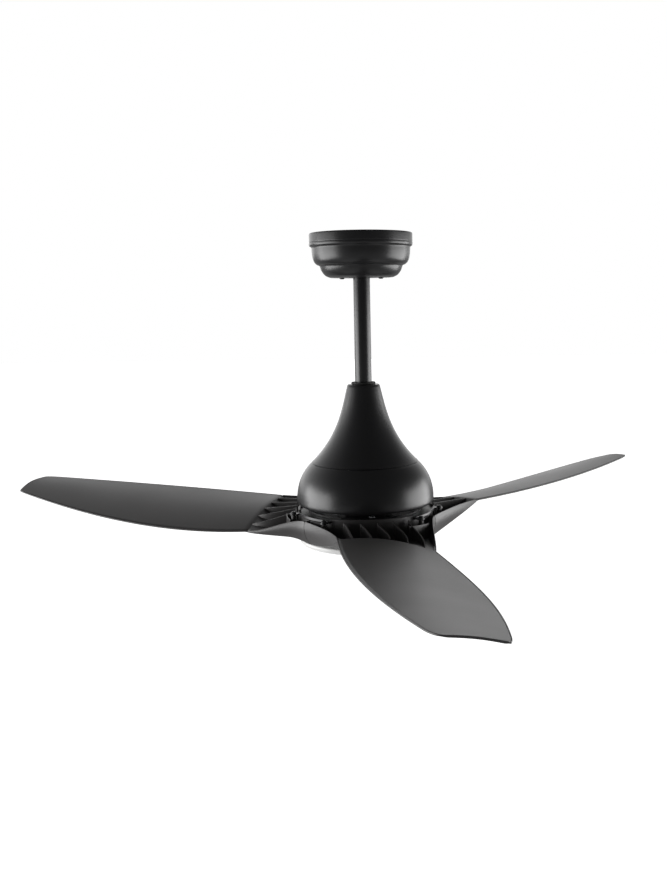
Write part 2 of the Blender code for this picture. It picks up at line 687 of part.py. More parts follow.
def tip_edge(v):
    """The oblique end of the blade, bulging slightly outwards."""
    return lead_edge(1.0).lerp(trail_edge(1.0), v) + Vector((5.0 * math.sin(math.pi * v), 0.0))


def smooth_step(u):
    return u * u * (3.0 - 2.0 * u)


def skin_height(w, v):
    low = through_thirds(LEAD_Z, w)
    high = through_thirds(TRAIL_Z, w)
    return low + (high - low) * v + CAMBER * (1.0 - 0.6 * w) * math.sin(math.pi * v)


def root_bottom(u, v):
    """Height of the underside, from the flat bowl at the ring up to the skin."""
    gentle = u ** 1.7
    quick = smooth_step(min(1.0, u / 0.4))
    lift = gentle + (quick - gentle) * v ** 3
    return BOWL_BOTTOM + (skin_height(0.0, v) - SKIN - BOWL_BOTTOM) * lift


def rim_height(u, v):
    end = skin_height(0.0, v)
    return RIM_HEIGHT + (end - RIM_HEIGHT) * smooth_step(u) ** 1.25


def cross_lines():
    """Lines that run from ring to tip: where each starts and ends across the pan, and what it is."""
    near, far = 0.0088, 0.015
    lines = [(0.0, 0.0, "rim"), (near, far, "rim"), (near * 2.0, far * 2.0, "floor"),
             (0.203, 0.055, "floor"), (0.205, 0.06, "sector")]
    for rib in range(RIB_COUNT):
        head = 0.295 + 0.112 * rib
        foot = 0.152 + 0.18 * rib
        lines += [(head - 0.005, foot - 0.008, "sector"), (head, foot, "rib"),
                  (head + 0.005, foot + 0.008, "sector")]
    mirrored = [(1 - head, 1 - foot, role) for head, foot, role in reversed(lines[:5])]
    return lines + mirrored


def blade_stations():
    """Each station is a row of (top point, underside point) pairs across the blade."""
    lines = cross_lines()
    rows = []
    for radius, under, kind in ((RING_INNER, RING_INNER, "wall"), (RING_OUTER, 108.6, "wall"),
                                (RING_OUTER + 0.8, 109.6, "pan")):
        row = []
        for head, foot, role in lines:
            angle = HALF_SPAN * (2 * head - 1)
            height = SECTOR_TOP if role in ("sector", "rib") else FLANGE_TOP - FLANGE_THICKNESS - GAP
            if kind == "pan":
                height = pan_height(0.0, head, role)
            row.append((polar(radius, angle).to_3d() + Vector((0, 0, height)),
                        polar(under, angle).to_3d() + Vector((0, 0, BOWL_BOTTOM))))
        rows.append(row)
    for u in PAN_STEPS:
        row = []
        sweep = smooth_step(u)
        for head, foot, role in lines:
            v = head + (foot - head) * sweep
            under = pan_plan(u, v, True).to_3d()
            top = under.lerp(pan_plan(u, v, False).to_3d(), SPREAD[role])
            top.z = pan_height(u, v, role)
            under.z = root_bottom(u, v)
            row.append((top, under))
        rows.append(row)
    for w in SKIN_STEPS:
        row = []
        for head, foot, role in lines:
            top = patch(w, foot, pan_edge, tip_edge, lead_edge, trail_edge).to_3d()
            top.z = skin_height(w, foot)
            edge = min(1.0, 8.0 * foot, 8.0 * (1.0 - foot), 30.0 * (1.0 - w) + 0.4)
            under = top - Vector((0, 0, SKIN * (0.45 + 0.55 * edge)))
            row.append((top, under))
        rows.append(row)
    return rows


def pan_height(u, v, role):
    floor = root_bottom(u, v) + PAN_FLOOR
    if role == "rim":
        return max(rim_height(u, v), floor)
    if role == "rib":
        start = SECTOR_TOP - 4.0
        return max(start + (skin_height(0.0, v) - start) * u, floor)
    return floor


def wall_middle(top, under):
    """The middle of a side wall, which bulges out between the rim and the underside."""
    swell = top.xy + (top.xy - under.xy) * WALL_SWELL
    control = Vector((swell.x, swell.y, top.z + (under.z - top.z) * WALL_SHOULDER))
    return bezier((top, control, under), 0.5)


def blade_mesh():
    """The blade with its pan, ribs, ring wall and the two bosses that take its screws."""
    shape = bmesh.new()
    rows = [[(shape.verts.new(top), shape.verts.new(under)) for top, under in row] for row in blade_stations()]
    for near, far in zip(rows, rows[1:]):
        for (a, a_low), (b, b_low), (c, c_low), (d, d_low) in zip(near, far, far[1:], near[1:]):
            shape.faces.new((a, b, c, d))
            shape.faces.new((a_low, d_low, c_low, b_low))
    for side in (0, -1):
        bulge = [shape.verts.new(wall_middle(*(vert.co for vert in row[side]))) for row in rows]
        for near, far, mid, next_mid in zip(rows, rows[1:], bulge, bulge[1:]):
            shape.faces.new((near[side][0], mid, next_mid, far[side][0]))
            shape.faces.new((mid, near[side][1], far[side][1], next_mid))
        for row, mid in ((rows[0], bulge[0]), (rows[-1], bulge[-1])):
            shape.faces.new((row[side][0], row[side][1], mid))
    for row in (rows[0], rows[-1]):
        for (a_top, a_low), (b_top, b_low) in zip(row, row[1:]):
            shape.faces.new((a_top, a_low, b_low, b_top))
    return mesh_from("blade", shape, 30.0)


def blades(finishes, parent):
    mesh = blade_mesh()
    low = FLANGE_TOP - FLANGE_THICKNESS - GAP
    screw = screw_mesh("blade_screw", 4.3, 3.2, 2.0, 11.0)
    for number, azimuth in enumerate(BLADE_AZIMUTHS, start=1):
        turn = math.radians(azimuth)
        blade = put(f"blade_{number}", mesh, finishes["blade_charcoal"], parent, turn=(0, 0, turn))
        spots = [polar(LUG_RADIUS, azimuth + side * LUG_ANGLE) for side in (-1, 1)]
        bosses = cutter(f"blade_bosses_{number}", [
            ((x, y, BOSS_FEET[side]), (x, y, low), BOSS_RADIUS) for side, (x, y) in zip((-1, 1), spots)
        ], parent)
        holes = cutter(f"blade_screw_holes_{number}", [((x, y, low - 12), (x, y, FLANGE_TOP + 4), 2.3)
                                                       for x, y in spots], parent)
        drill(blade, bosses, "UNION", "MANIFOLD")
        drill(blade, holes, "DIFFERENCE", "MANIFOLD")
        drill(bpy.data.objects["blade_flange"], holes)
        for letter, (x, y) in zip("ab", spots):
            put(f"blade_screw_{number}{letter}", screw, finishes["black_screw"], parent,
                (x, y, FLANGE_TOP + GAP))


# ---------------------------------------------------------------- light
LIGHT_PLATE_LOW = -43.0


def light_kit(finishes, parent):
    plate = [
        (SHAFT_RADIUS + GAP, LIGHT_PLATE_LOW),
        (95.0, LIGHT_PLATE_LOW),
        (95.0, -54.0),
        (LIGHT_RADIUS, -54.0),
        (LIGHT_RADIUS, -52.0),
        (97.5, -51.5),
        (97.5, LIGHT_PLATE_LOW + 2.5),
        (SHAFT_RADIUS + GAP, LIGHT_PLATE_LOW + 2.5),
    ]
    dish = put("light_plate", turned("light_plate", plate, ROUND_LARGE), finishes["cast_aluminium"], parent)
    put("shaft_nut", hex_nut("shaft_nut", SHAFT_RADIUS + GAP, 15.0, 5.0), finishes["zinc_steel"], parent,
        (0, 0, LIGHT_PLATE_LOW + 2.5 + GAP))
    ring = [(20.0, LIGHT_PLATE_LOW - 1.9), (88.0, LIGHT_PLATE_LOW - 1.9), (88.0, LIGHT_PLATE_LOW - GAP),
            (20.0, LIGHT_PLATE_LOW - GAP)]
    board = put("led_board", turned("led_board", ring, ROUND_LARGE), finishes["board"], parent)
    spots = [polar(26.0, 90 + 120 * n) for n in range(3)]
    holes = cutter("light_screw_holes", [((x, y, LIGHT_PLATE_LOW - 5), (x, y, LIGHT_PLATE_LOW + 6), 1.8)
                                         for x, y in spots], parent)
    drill(dish, holes)
    drill(board, holes)
    screw = screw_mesh("light_screw", 3.2, 1.8, 1.5, 4.0)
    for number, (x, y) in enumerate(spots, start=1):
        put(f"light_screw_{number}", screw, finishes["zinc_steel"], parent,
            (x, y, LIGHT_PLATE_LOW - 1.9 - GAP), (math.pi, 0.0, 0.0))
    put("led_driver", block("led_driver", (70.0, 34.0, 14.0), 1.5), finishes["grey_plastic"], parent,
        (0.0, 52.0, LIGHT_PLATE_LOW + 2.5 + GAP + 7.0))


def diffuser(finish, parent):
    """Opal dish with a neck that twists on to the light plate's rim and a wider lip below it."""
    outside = [(LIGHT_RADIUS, -54.0 - GAP), (LIGHT_RADIUS, -58.3), (107.5, -59.3), (109.0, -61.0),
               (108.8, -65.0), (106.0, -68.3), (96.0, -69.6), (60.0, DIFFUSER_BOTTOM),
               (0.0, DIFFUSER_BOTTOM)]
    inside = [(0.0, -67.8), (60.0, -67.8), (94.0, -67.2), (104.0, -66.0), (106.4, -64.2), (106.4, -62.4),
              (105.0, -61.4), (100.4, -60.4), (100.4, -54.0 - GAP)]
    outline = list(reversed(outside)) + list(reversed(inside))
    put("diffuser", turned("diffuser", outline, ROUND_LARGE), finish, parent)


def build():
    clear_scene()
    finishes = make_materials()
    swing = pivot("hanger_swing", BALL_HEIGHT)
    rotor = pivot("rotor_spin", 0.0, swing)
    twist = pivot("diffuser_twist", -54.0, swing)
    ceiling_mount(finishes)
    downrod_assembly(finishes, swing)
    housing(finishes, swing)
    housing_plate(finishes, swing)
    motor_shaft(finishes["zinc_steel"], swing)
    stator(finishes, swing)
    rotor_casings(finishes, rotor)
    blade_flange(finishes, rotor)
    blades(finishes, rotor)
    light_kit(finishes, swing)
    diffuser(finishes["opal"], twist)


build()
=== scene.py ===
# %% [markdown]
# # A ceiling fan with a light
#
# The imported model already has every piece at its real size, in metres, with the origin on the
# ceiling. This notebook keeps those places and gives each visible piece its real surface: turned
# shells with soft edges, blades with their ribbed roots, and finishes built from shader nodes.

# %% Load the frame
import json
import math

import bmesh
import bpy
from mathutils import Matrix, Vector


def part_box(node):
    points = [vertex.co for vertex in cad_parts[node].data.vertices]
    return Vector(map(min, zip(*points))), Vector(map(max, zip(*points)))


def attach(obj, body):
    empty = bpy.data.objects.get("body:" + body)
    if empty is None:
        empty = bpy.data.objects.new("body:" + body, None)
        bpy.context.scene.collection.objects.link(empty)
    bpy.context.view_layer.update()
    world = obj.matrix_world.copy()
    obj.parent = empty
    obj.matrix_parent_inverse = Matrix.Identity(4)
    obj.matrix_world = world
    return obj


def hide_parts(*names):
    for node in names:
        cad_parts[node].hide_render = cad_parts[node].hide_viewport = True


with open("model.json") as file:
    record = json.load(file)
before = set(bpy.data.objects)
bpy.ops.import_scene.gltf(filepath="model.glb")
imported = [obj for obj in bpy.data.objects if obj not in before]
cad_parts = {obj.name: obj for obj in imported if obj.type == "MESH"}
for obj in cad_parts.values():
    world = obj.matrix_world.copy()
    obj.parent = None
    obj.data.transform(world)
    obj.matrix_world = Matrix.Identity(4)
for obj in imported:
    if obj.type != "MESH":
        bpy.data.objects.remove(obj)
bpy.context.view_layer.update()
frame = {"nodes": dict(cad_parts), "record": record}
MM = 0.001
FLANGE_TOP = -15.0
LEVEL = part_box("blade_flange")[1][2] - FLANGE_TOP * MM
print("height 0 is", round(-LEVEL / MM), "mm below the ceiling")


# %% [markdown]
# ## Small helpers
#
# Every height in this notebook is counted in millimetres from one level, 15 mm above the blade
# flange's top and 3 mm above the motor housing's lower rim. One function turns such a point
# into the frame's metres.

# %% Places and meshes
def place(x, y, height):
    """A point in the frame's metres, from millimetres about the axis and above height 0."""
    return Vector((x * MM, y * MM, LEVEL + height * MM))


def polar(radius, degrees):
    angle = math.radians(degrees)
    return Vector((radius * math.cos(angle), radius * math.sin(angle)))


def bezier(points, t):
    """A point on the Bezier curve with these control points."""
    level = [Vector(point) for point in points]
    while len(level) > 1:
        level = [a.lerp(b, t) for a, b in zip(level, level[1:])]
    return level[0]


def curve_run(points, steps):
    """Evenly stepped points along one Bezier curve, ends included."""
    return [bezier(points, step / steps) for step in range(steps + 1)]


def rounded(line, radius, steps=5):
    """The same outline with each inner corner replaced by a small arc-like curve."""
    smooth = [Vector(line[0])]
    for before, corner, after in zip(line, line[1:], line[2:]):
        before, corner, after = Vector(before), Vector(corner), Vector(after)
        reach = min(radius, (before - corner).length * 0.45, (after - corner).length * 0.45)
        start = corner + (before - corner).normalized() * reach
        end = corner + (after - corner).normalized() * reach
        smooth += curve_run((start, corner, end), steps)
    return smooth + [Vector(line[-1])]


def mesh_of(name, shape):
    """A mesh with this name from a bmesh, which is freed."""
    mesh = bpy.data.meshes.new(name)
    shape.to_mesh(mesh)
    shape.free()
    return mesh


def finish_object(name, mesh, surface, sharp=32.0):
    """Link a mesh as a piece, smooth except where its faces turn sharply."""
    mesh.shade_smooth()
    mesh.set_sharp_from_angle(angle=math.radians(sharp))
    if surface and not mesh.materials:
        mesh.materials.append(surface)
    piece = bpy.data.objects.new(name, mesh)
    bpy.context.collection.objects.link(piece)
    return piece


def facing_out(mesh):
    """Turn a closed mesh the right way round."""
    shape = bmesh.new()
    shape.from_mesh(mesh)
    bmesh.ops.remove_doubles(shape, verts=shape.verts, dist=1e-6)
    bmesh.ops.recalc_face_normals(shape, faces=shape.faces)
    if shape.calc_volume(signed=True) < 0.0:
        bmesh.ops.reverse_faces(shape, faces=shape.faces)
    shape.to_mesh(mesh)
    shape.free()
    return mesh


# %% [markdown]
# ## Shader groups shared by the finishes
#
# Powder coat and moulded plastic differ in grain size, not in kind: both are an even colour with
# a fine bumpy skin. One group makes that skin. A second one darkens or lightens slowly over a
# large piece, as dust and handling do.

# %% Grain and mottle groups
def node_group(name, inputs, outputs):
    group = bpy.data.node_groups.new(name, "ShaderNodeTree")
    for label, kind, value in inputs:
        socket = group.interface.new_socket(label, in_out="INPUT", socket_type=kind)
        if value is not None:
            socket.default_value = value
    for label, kind in outputs:
        group.interface.new_socket(label, in_out="OUTPUT", socket_type=kind)
    start = group.nodes.new("NodeGroupInput")
    end = group.nodes.new("NodeGroupOutput")
    return group, start, end


def maths(tree, operation, first, second=None, third=None):
    node = tree.nodes.new("ShaderNodeMath")
    node.operation = operation
    for socket, value in zip(node.inputs, (first, second, third)):
        if value is None:
            continue
        if hasattr(value, "links"):
            tree.links.new(value, socket)
        else:
            socket.default_value = value
    return node.outputs[0]


def noise(tree, vector, scale, detail, roughness=0.5):
    node = tree.nodes.new("ShaderNodeTexNoise")
    tree.links.new(vector, node.inputs["Vector"])
    if hasattr(scale, "links"):
        tree.links.new(scale, node.inputs["Scale"])
    else:
        node.inputs["Scale"].default_value = scale
    node.inputs["Detail"].default_value = detail
    node.inputs["Roughness"].default_value = roughness
    return node.outputs["Fac"]


def grain_group():
    """Fine moulded or sprayed texture: a height for bump and a small change of roughness."""
    group, start, end = node_group(
        "surface_grain",
        [("Vector", "NodeSocketVector", None), ("Grain Scale", "NodeSocketFloat", 1200.0),
         ("Base Roughness", "NodeSocketFloat", 0.45), ("Roughness Spread", "NodeSocketFloat", 0.08)],
        [("Height", "NodeSocketFloat"), ("Roughness", "NodeSocketFloat")],
    )
    vector = start.outputs["Vector"]
    fine = noise(group, vector, start.outputs["Grain Scale"], 2.0)
    slow = noise(group, vector, 9.0, 3.0)
    cloud = maths(group, "MULTIPLY_ADD", maths(group, "SUBTRACT", slow, 0.5),
                  start.outputs["Roughness Spread"], start.outputs["Base Roughness"])
    spark = maths(group, "MULTIPLY_ADD", maths(group, "SUBTRACT", fine, 0.5),
                  maths(group, "MULTIPLY", start.outputs["Roughness Spread"], 0.5), cloud)
    group.links.new(fine, end.inputs["Height"])
    group.links.new(spark, end.inputs["Roughness"])
    return group


def mottle_group():
    """Slow colour change over a piece, from handling, dust and uneven pigment."""
    group, start, end = node_group(
        "colour_mottle",
        [("Vector", "NodeSocketVector", None), ("Colour", "NodeSocketColor", (0.1, 0.1, 0.1, 1.0)),
         ("Worn Colour", "NodeSocketColor", (0.2, 0.2, 0.2, 1.0)), ("Amount", "NodeSocketFloat", 0.2),
         ("Patch Scale", "NodeSocketFloat", 14.0)],
        [("Colour", "NodeSocketColor")],
    )
    patches = noise(group, start.outputs["Vector"], start.outputs["Patch Scale"], 4.0, 0.6)
    specks = noise(group, start.outputs["Vector"], 260.0, 1.0)
    both = maths(group, "ADD", maths(group, "MULTIPLY", patches, 0.8), maths(group, "MULTIPLY", specks, 0.2))
    share = maths(group, "MULTIPLY", both, start.outputs["Amount"])
    mix = group.nodes.new("ShaderNodeMix")
    mix.data_type = "RGBA"
    group.links.new(share, mix.inputs["Factor"])
    group.links.new(start.outputs["Colour"], mix.inputs[6])
    group.links.new(start.outputs["Worn Colour"], mix.inputs[7])
    group.links.new(mix.outputs[2], end.inputs["Colour"])
    return group


GRAIN = grain_group()
MOTTLE = mottle_group()
print("shader groups:", GRAIN.name, "and", MOTTLE.name)


# %% [markdown]
# ## Finishes
#
# The fan is painted and moulded in near-black tones, so its look is all in the gloss: the metal
# shells are a satin powder coat, the blades a duller charcoal plastic. Every finish here is one
# Principled shader fed by the two groups, so only numbers differ between them.

# %% A finish from colour, gloss and grain
ROUGHNESS_SPREAD = 0.08
MOTTLE_AMOUNT = 0.25
RELIEF_DEPTH = 0.0004


def make_finish(name, colour, worn, roughness, metallic=0.0, grain=1200.0, bump=0.02):
    surface = bpy.data.materials.new(name)
    surface.use_nodes = True
    tree = surface.node_tree
    shader = tree.nodes["Principled BSDF"]
    shader.inputs["Metallic"].default_value = metallic
    where = tree.nodes.new("ShaderNodeTexCoord").outputs["Object"]
    skin = tree.nodes.new("ShaderNodeGroup")
    skin.node_tree = GRAIN
    tree.links.new(where, skin.inputs["Vector"])
    skin.inputs["Grain Scale"].default_value = grain
    skin.inputs["Base Roughness"].default_value = roughness
    skin.inputs["Roughness Spread"].default_value = ROUGHNESS_SPREAD
    tint = tree.nodes.new("ShaderNodeGroup")
    tint.node_tree = MOTTLE
    tree.links.new(where, tint.inputs["Vector"])
    tint.inputs["Colour"].default_value = (*colour, 1.0)
    tint.inputs["Worn Colour"].default_value = (*worn, 1.0)
    tint.inputs["Amount"].default_value = MOTTLE_AMOUNT
    relief = tree.nodes.new("ShaderNodeBump")
    relief.inputs["Strength"].default_value = bump
    relief.inputs["Distance"].default_value = RELIEF_DEPTH
    tree.links.new(skin.outputs["Height"], relief.inputs["Height"])
    tree.links.new(relief.outputs["Normal"], shader.inputs["Normal"])
    tree.links.new(skin.outputs["Roughness"], shader.inputs["Roughness"])
    tree.links.new(tint.outputs["Colour"], shader.inputs["Base Color"])
    return surface


FINISHES = {
    "satin_black": make_finish("satin_black_powder_coat", (0.010, 0.010, 0.011), (0.020, 0.020, 0.021),
                               0.32, grain=1500.0, bump=0.10),
    "blade_charcoal": make_finish("blade_charcoal_plastic", (0.042, 0.040, 0.040), (0.062, 0.059, 0.059),
                                  0.42, grain=1900.0, bump=0.12),
    "opal": make_finish("opal_polycarbonate", (0.86, 0.86, 0.85), (0.78, 0.78, 0.76), 0.32, bump=0.01),
    "zinc_steel": make_finish("zinc_plated_steel", (0.56, 0.57, 0.60), (0.42, 0.42, 0.40), 0.34, 1.0,
                              grain=700.0, bump=0.05),
    "black_screw": make_finish("black_oxide_screw", (0.030, 0.030, 0.032), (0.10, 0.10, 0.10), 0.36, 0.7,
                               grain=2600.0, bump=0.04),
    "cast_aluminium": make_finish("cast_aluminium", (0.62, 0.63, 0.64), (0.48, 0.48, 0.49), 0.45, 1.0,
                                  grain=420.0, bump=0.25),
    "lamination": make_finish("stacked_lamination", (0.30, 0.31, 0.33), (0.16, 0.15, 0.15), 0.5, 1.0,
                              grain=900.0, bump=0.1),
    "copper": make_finish("enamelled_copper", (0.72, 0.33, 0.17), (0.45, 0.17, 0.08), 0.3, 1.0,
                          grain=500.0, bump=0.3),
    "magnet": make_finish("sintered_magnet", (0.08, 0.08, 0.085), (0.13, 0.13, 0.13), 0.5, 0.4),
    "bearing": make_finish("ground_bearing_steel", (0.75, 0.76, 0.78), (0.6, 0.6, 0.62), 0.18, 1.0,
                           bump=0.01),
    "board": make_finish("white_board", (0.82, 0.84, 0.82), (0.70, 0.72, 0.70), 0.5),
    "grey_plastic": make_finish("grey_moulded_plastic", (0.18, 0.18, 0.19), (0.24, 0.24, 0.24), 0.55,
                                bump=0.15),
    "rubber": make_finish("matt_rubber", (0.015, 0.015, 0.015), (0.035, 0.035, 0.035), 0.75, bump=0.2),
}
for subpart in frame["record"]["subparts"]:
    body = frame["nodes"][subpart["node"]]
    body.data.materials.clear()
    body.data.materials.append(FINISHES[subpart["material_slot"]])
print(len(FINISHES), "finishes on", len(frame["nodes"]), "nodes")


# %% [markdown]
# ## A tree that turns a profile
#
# Canopy, housing, collar, rod and light cover are all turned or spun on the real fan, so their
# shape is one rule: a profile carried once round the axis. A Screw modifier could do it, but a
# Geometry Nodes tree keeps every profile point, so edge radii stay exact. It reads the profile
# from a curve, lays a grid and wraps the grid round the axis.

# %% The turning tree
def geometry_group(name, inputs):
    group = bpy.data.node_groups.new(name, "GeometryNodeTree")
    group.interface.new_socket("Geometry", in_out="INPUT", socket_type="NodeSocketGeometry")
    for label, kind, value in inputs:
        socket = group.interface.new_socket(label, in_out="INPUT", socket_type=kind)
        if value is not None:
            socket.default_value = value
    group.interface.new_socket("Geometry", in_out="OUTPUT", socket_type="NodeSocketGeometry")
    return group, group.nodes.new("NodeGroupInput"), group.nodes.new("NodeGroupOutput")


def add(tree, kind, links=None, **settings):
    """Add a node, set its properties, and link or set its named inputs."""
    node = tree.nodes.new(kind)
    for key, value in settings.items():
        setattr(node, key, value)
    for key, value in (links or {}).items():
        socket = node.inputs[key]
        if hasattr(value, "links"):
            tree.links.new(value, socket)
        else:
            socket.default_value = value
    return node


def turning_tree():
    group, start, end = geometry_group(
        "turned_piece", [("Steps", "NodeSocketInt", 96), ("Material", "NodeSocketMaterial", None)])
    count = add(group, "GeometryNodeAttributeDomainSize", {"Geometry": start.outputs[0]}, component="CURVE")
    across = maths(group, "ADD", start.outputs["Steps"], 1.0)
    grid = add(group, "GeometryNodeMeshGrid", {"Size X": 1.0, "Size Y": 1.0, "Vertices X": across,
                                               "Vertices Y": count.outputs["Point Count"]})
    spread = add(group, "ShaderNodeSeparateXYZ", {0: grid.outputs["UV Map"]})
    last = maths(group, "SUBTRACT", count.outputs["Point Count"], 1.0)
    row = maths(group, "ROUND", maths(group, "MULTIPLY", spread.outputs["Y"], last))
    spot = add(group, "GeometryNodeInputPosition")
    sample = add(group, "GeometryNodeSampleIndex", {"Geometry": start.outputs[0], "Index": row},
                 data_type="FLOAT_VECTOR", domain="POINT")
    group.links.new(spot.outputs[0], sample.inputs["Value"])
    profile = add(group, "ShaderNodeSeparateXYZ", {0: sample.outputs[0]})
    angle = maths(group, "MULTIPLY", spread.outputs["X"], math.tau)
    turned_x = maths(group, "MULTIPLY", profile.outputs["X"], maths(group, "COSINE", angle))
    turned_y = maths(group, "MULTIPLY", profile.outputs["X"], maths(group, "SINE", angle))
    target = add(group, "ShaderNodeCombineXYZ", {"X": turned_x, "Y": turned_y, "Z": profile.outputs["Z"]})
    moved = add(group, "GeometryNodeSetPosition", {"Geometry": grid.outputs["Mesh"],
                                                   "Position": target.outputs[0]})
    merged = add(group, "GeometryNodeMergeByDistance", {"Geometry": moved.outputs[0], "Distance": 1e-6})
    real = add(group, "GeometryNodeRealizeInstances", {"Geometry": merged.outputs[0]})
    painted = add(group, "GeometryNodeSetMaterial", {"Geometry": real.outputs[0],
                                                     "Material": start.outputs["Material"]})
    group.links.new(painted.outputs[0], end.inputs[0])
    return group


def evaluated_mesh(source, tree, values, name):
    """Run a tree on a source object and return its result as a plain mesh."""
    modifier = source.modifiers.new(tree.name, "NODES")
    modifier.node_group = tree
    for item in tree.interface.items_tree:
        if item.item_type == "SOCKET" and item.in_out == "INPUT" and item.name in values:
            modifier[item.identifier] = values[item.name]
    bpy.context.view_layer.update()
    ready = source.evaluated_get(bpy.context.evaluated_depsgraph_get())
    mesh = bpy.data.meshes.new_from_object(ready)
    mesh.name = name
    bpy.data.objects.remove(source)
    return mesh


TURNING = turning_tree()


def line_object(name, line):
    """A curve object holding one poly spline through a list of 3-D points."""
    data = bpy.data.curves.new(name, "CURVE")
    data.dimensions = "3D"
    spline = data.splines.new("POLY")
    spline.points.add(len(line) - 1)
    for point, spot in zip(spline.points, line):
        point.co = (*spot, 1.0)
    made = bpy.data.objects.new(name, data)
    bpy.context.collection.objects.link(made)
    return made


def turned(name, profile, surface, steps):
    """A round piece from (radius, height) points, closed from the last one to the first."""
    line = [place(radius, 0.0, height) for radius, height in profile]
    source = line_object(f"{name}_profile", line + line[:1])
    mesh = evaluated_mesh(source, TURNING, {"Steps": steps, "Material": surface}, name)
    return finish_object(name, facing_out(mesh), surface)


print("turning tree has", len(TURNING.nodes), "nodes")


# %% [markdown]
# ## Canopy
#
# The canopy is pressed from thin steel and covers the hanger bracket. Its outline steps inwards
# as it comes down: a straight band, a rolled bead almost flush with it, a full round bowl, a
# small step, and a lower bowl that ends in a flat floor round the rod. The profile is drawn as a
# few curves with the pressed steel's soft corners between them.

# %% Canopy
SATIN = FINISHES["satin_black"]
CANOPY_TOP = -LEVEL / MM - 0.3
CANOPY_FLOOR = 358.5
CANOPY_SCREW_X = 31.0


def canopy_profile():
    outer = [Vector((24.0, CANOPY_FLOOR))]
    outer += rounded([(26.0, CANOPY_FLOOR), (50.0, CANOPY_FLOOR), (56.5, 361.4)], 3.0)
    outer += curve_run(((57.0, 361.8), (62.0, 366.2), (64.4, 371.2), (65.4, 375.8)), 12)
    outer += curve_run(((66.0, 377.1), (67.0, 378.0), (68.4, 378.2)), 4)
    outer += curve_run(((68.8, 378.3), (75.8, 381.7), (77.7, 389.2), (78.2, 404.6)), 18)
    outer += curve_run(((78.3, 405.2), (78.6, 406.4), (80.0, 407.1)), 4)
    outer += curve_run(((80.4, 407.3), (82.0, 408.0), (82.0, 410.4), (81.9, 412.4)), 8)
    outer += [Vector((81.5, 412.9)), Vector((81.4, 413.3)), Vector((81.7, 413.8))]
    outer += rounded([(81.7, 414.4), (81.7, 426.4), (80.5, CANOPY_TOP)], 1.0)
    inner = [(79.0, CANOPY_TOP), (79.0, 413.0), (76.2, 403.0), (75.8, 390.0), (70.0, 381.6), (63.4, 378.4)]
    inner += [(60.5, 367.2), (53.5, 361.6), (24.0, CANOPY_FLOOR + 2.0)]
    return outer + rounded(inner, 1.5, 3)


canopy_shell = turned("canopy_shell", canopy_profile(), SATIN, 160)
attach(canopy_shell, "ceiling_mount")
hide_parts("canopy")
print("canopy:", len(canopy_shell.data.polygons), "faces")


# %% [markdown]
# ## Downrod and collar
#
# The rod is plain 3/4 inch pipe, painted. The collar is a thin soft ring where the rod enters
# the housing. Both are turned, so the same tree makes them.

# %% Downrod and collar
ROD_RADIUS = 13.35
ROD_BORE = 11.0
ROD_ENDS = (95.0, 402.0)
COLLAR_RADIUS = 19.5
COLLAR_ENDS = (189.3, 192.6)


def tube_profile(inner, outer, low, high, edge):
    return rounded([(inner, (low + high) / 2), (inner, low), (outer, low), (outer, high), (inner, high),
                    (inner, (low + high) / 2 + 0.01)], edge, 3)


rod = turned("downrod_pipe", tube_profile(ROD_BORE, ROD_RADIUS, *ROD_ENDS, 0.5), SATIN, 96)
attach(rod, "hanging_unit")
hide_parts("downrod")
collar = turned("rod_collar", tube_profile(ROD_RADIUS + 0.3, COLLAR_RADIUS, *COLLAR_ENDS, 0.9),
                FINISHES["rubber"], 96)
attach(collar, "hanging_unit")
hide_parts("top_collar")
print("rod and collar made")


# %% [markdown]
# ## Motor housing
#
# Two shells make the bell: a tall upper one with a hollow flank, and a lower one with a round
# shoulder. They meet at a fine line a third of the way up. Each shell is a thin wall, so its
# profile is the outer curve, a small lip radius, and the same curve moved inwards.

# %% Housing shells
SEAM = 63.0
SEAM_EDGE = 86.5
WALL = 2.5


def moved_in(line, depth):
    """The line moved towards the axis along its own normal."""
    inner = []
    for index, point in enumerate(line):
        along = line[min(index + 1, len(line) - 1)] - line[max(index - 1, 0)]
        along.normalize()
        inner.append(point + Vector((along.y, -along.x)) * depth)
    return inner


def housing_lines():
    flank = curve_run(((26.5, 187.0), (36.0, 150.0), (41.5, 108.0), (SEAM_EDGE, SEAM)), 40)
    shoulder = curve_run(((SEAM_EDGE, SEAM), (101.5, 49.0), (109.8, 32.0), (111.5, 10.0)), 28)
    return flank, shoulder


def upper_shell():
    flank, _ = housing_lines()
    inner = moved_in(flank, WALL)[1:-1]
    mouth = ROD_RADIUS + 3.0
    crown = rounded([(mouth, 188.0), (mouth, 189.0), (25.2, 189.0), (26.5, 187.0)], 0.8, 4)
    lip = [Vector((SEAM_EDGE - 0.2, SEAM + 0.9)), Vector((SEAM_EDGE - 0.7, SEAM + 0.35)),
           Vector((84.0, SEAM + 0.3))]
    cap = [Vector((mouth + 3.0, 186.5)), Vector((mouth, 186.5))]
    return crown + flank[1:-1] + lip + list(reversed(inner)) + cap


def lower_shell():
    _, shoulder = housing_lines()
    inner = moved_in(shoulder, WALL)
    lip = [Vector((83.0, SEAM)), Vector((SEAM_EDGE - 0.7, SEAM)), Vector((SEAM_EDGE + 0.1, SEAM - 0.5))]
    rim = curve_run(((111.5, 5.0), (111.5, 0.4), (110.8, -2.8), (108.6, -3.0)), 8)
    shelf = [Vector(p) for p in ((82.6, 58.8), (72.0, 58.8), (72.0, 62.0), (82.6, 62.0))]
    wall = [p for p in reversed(inner) if p.y < 57.0]
    return lip + shoulder[1:] + rim + [Vector((108.0, -1.6))] + wall + shelf


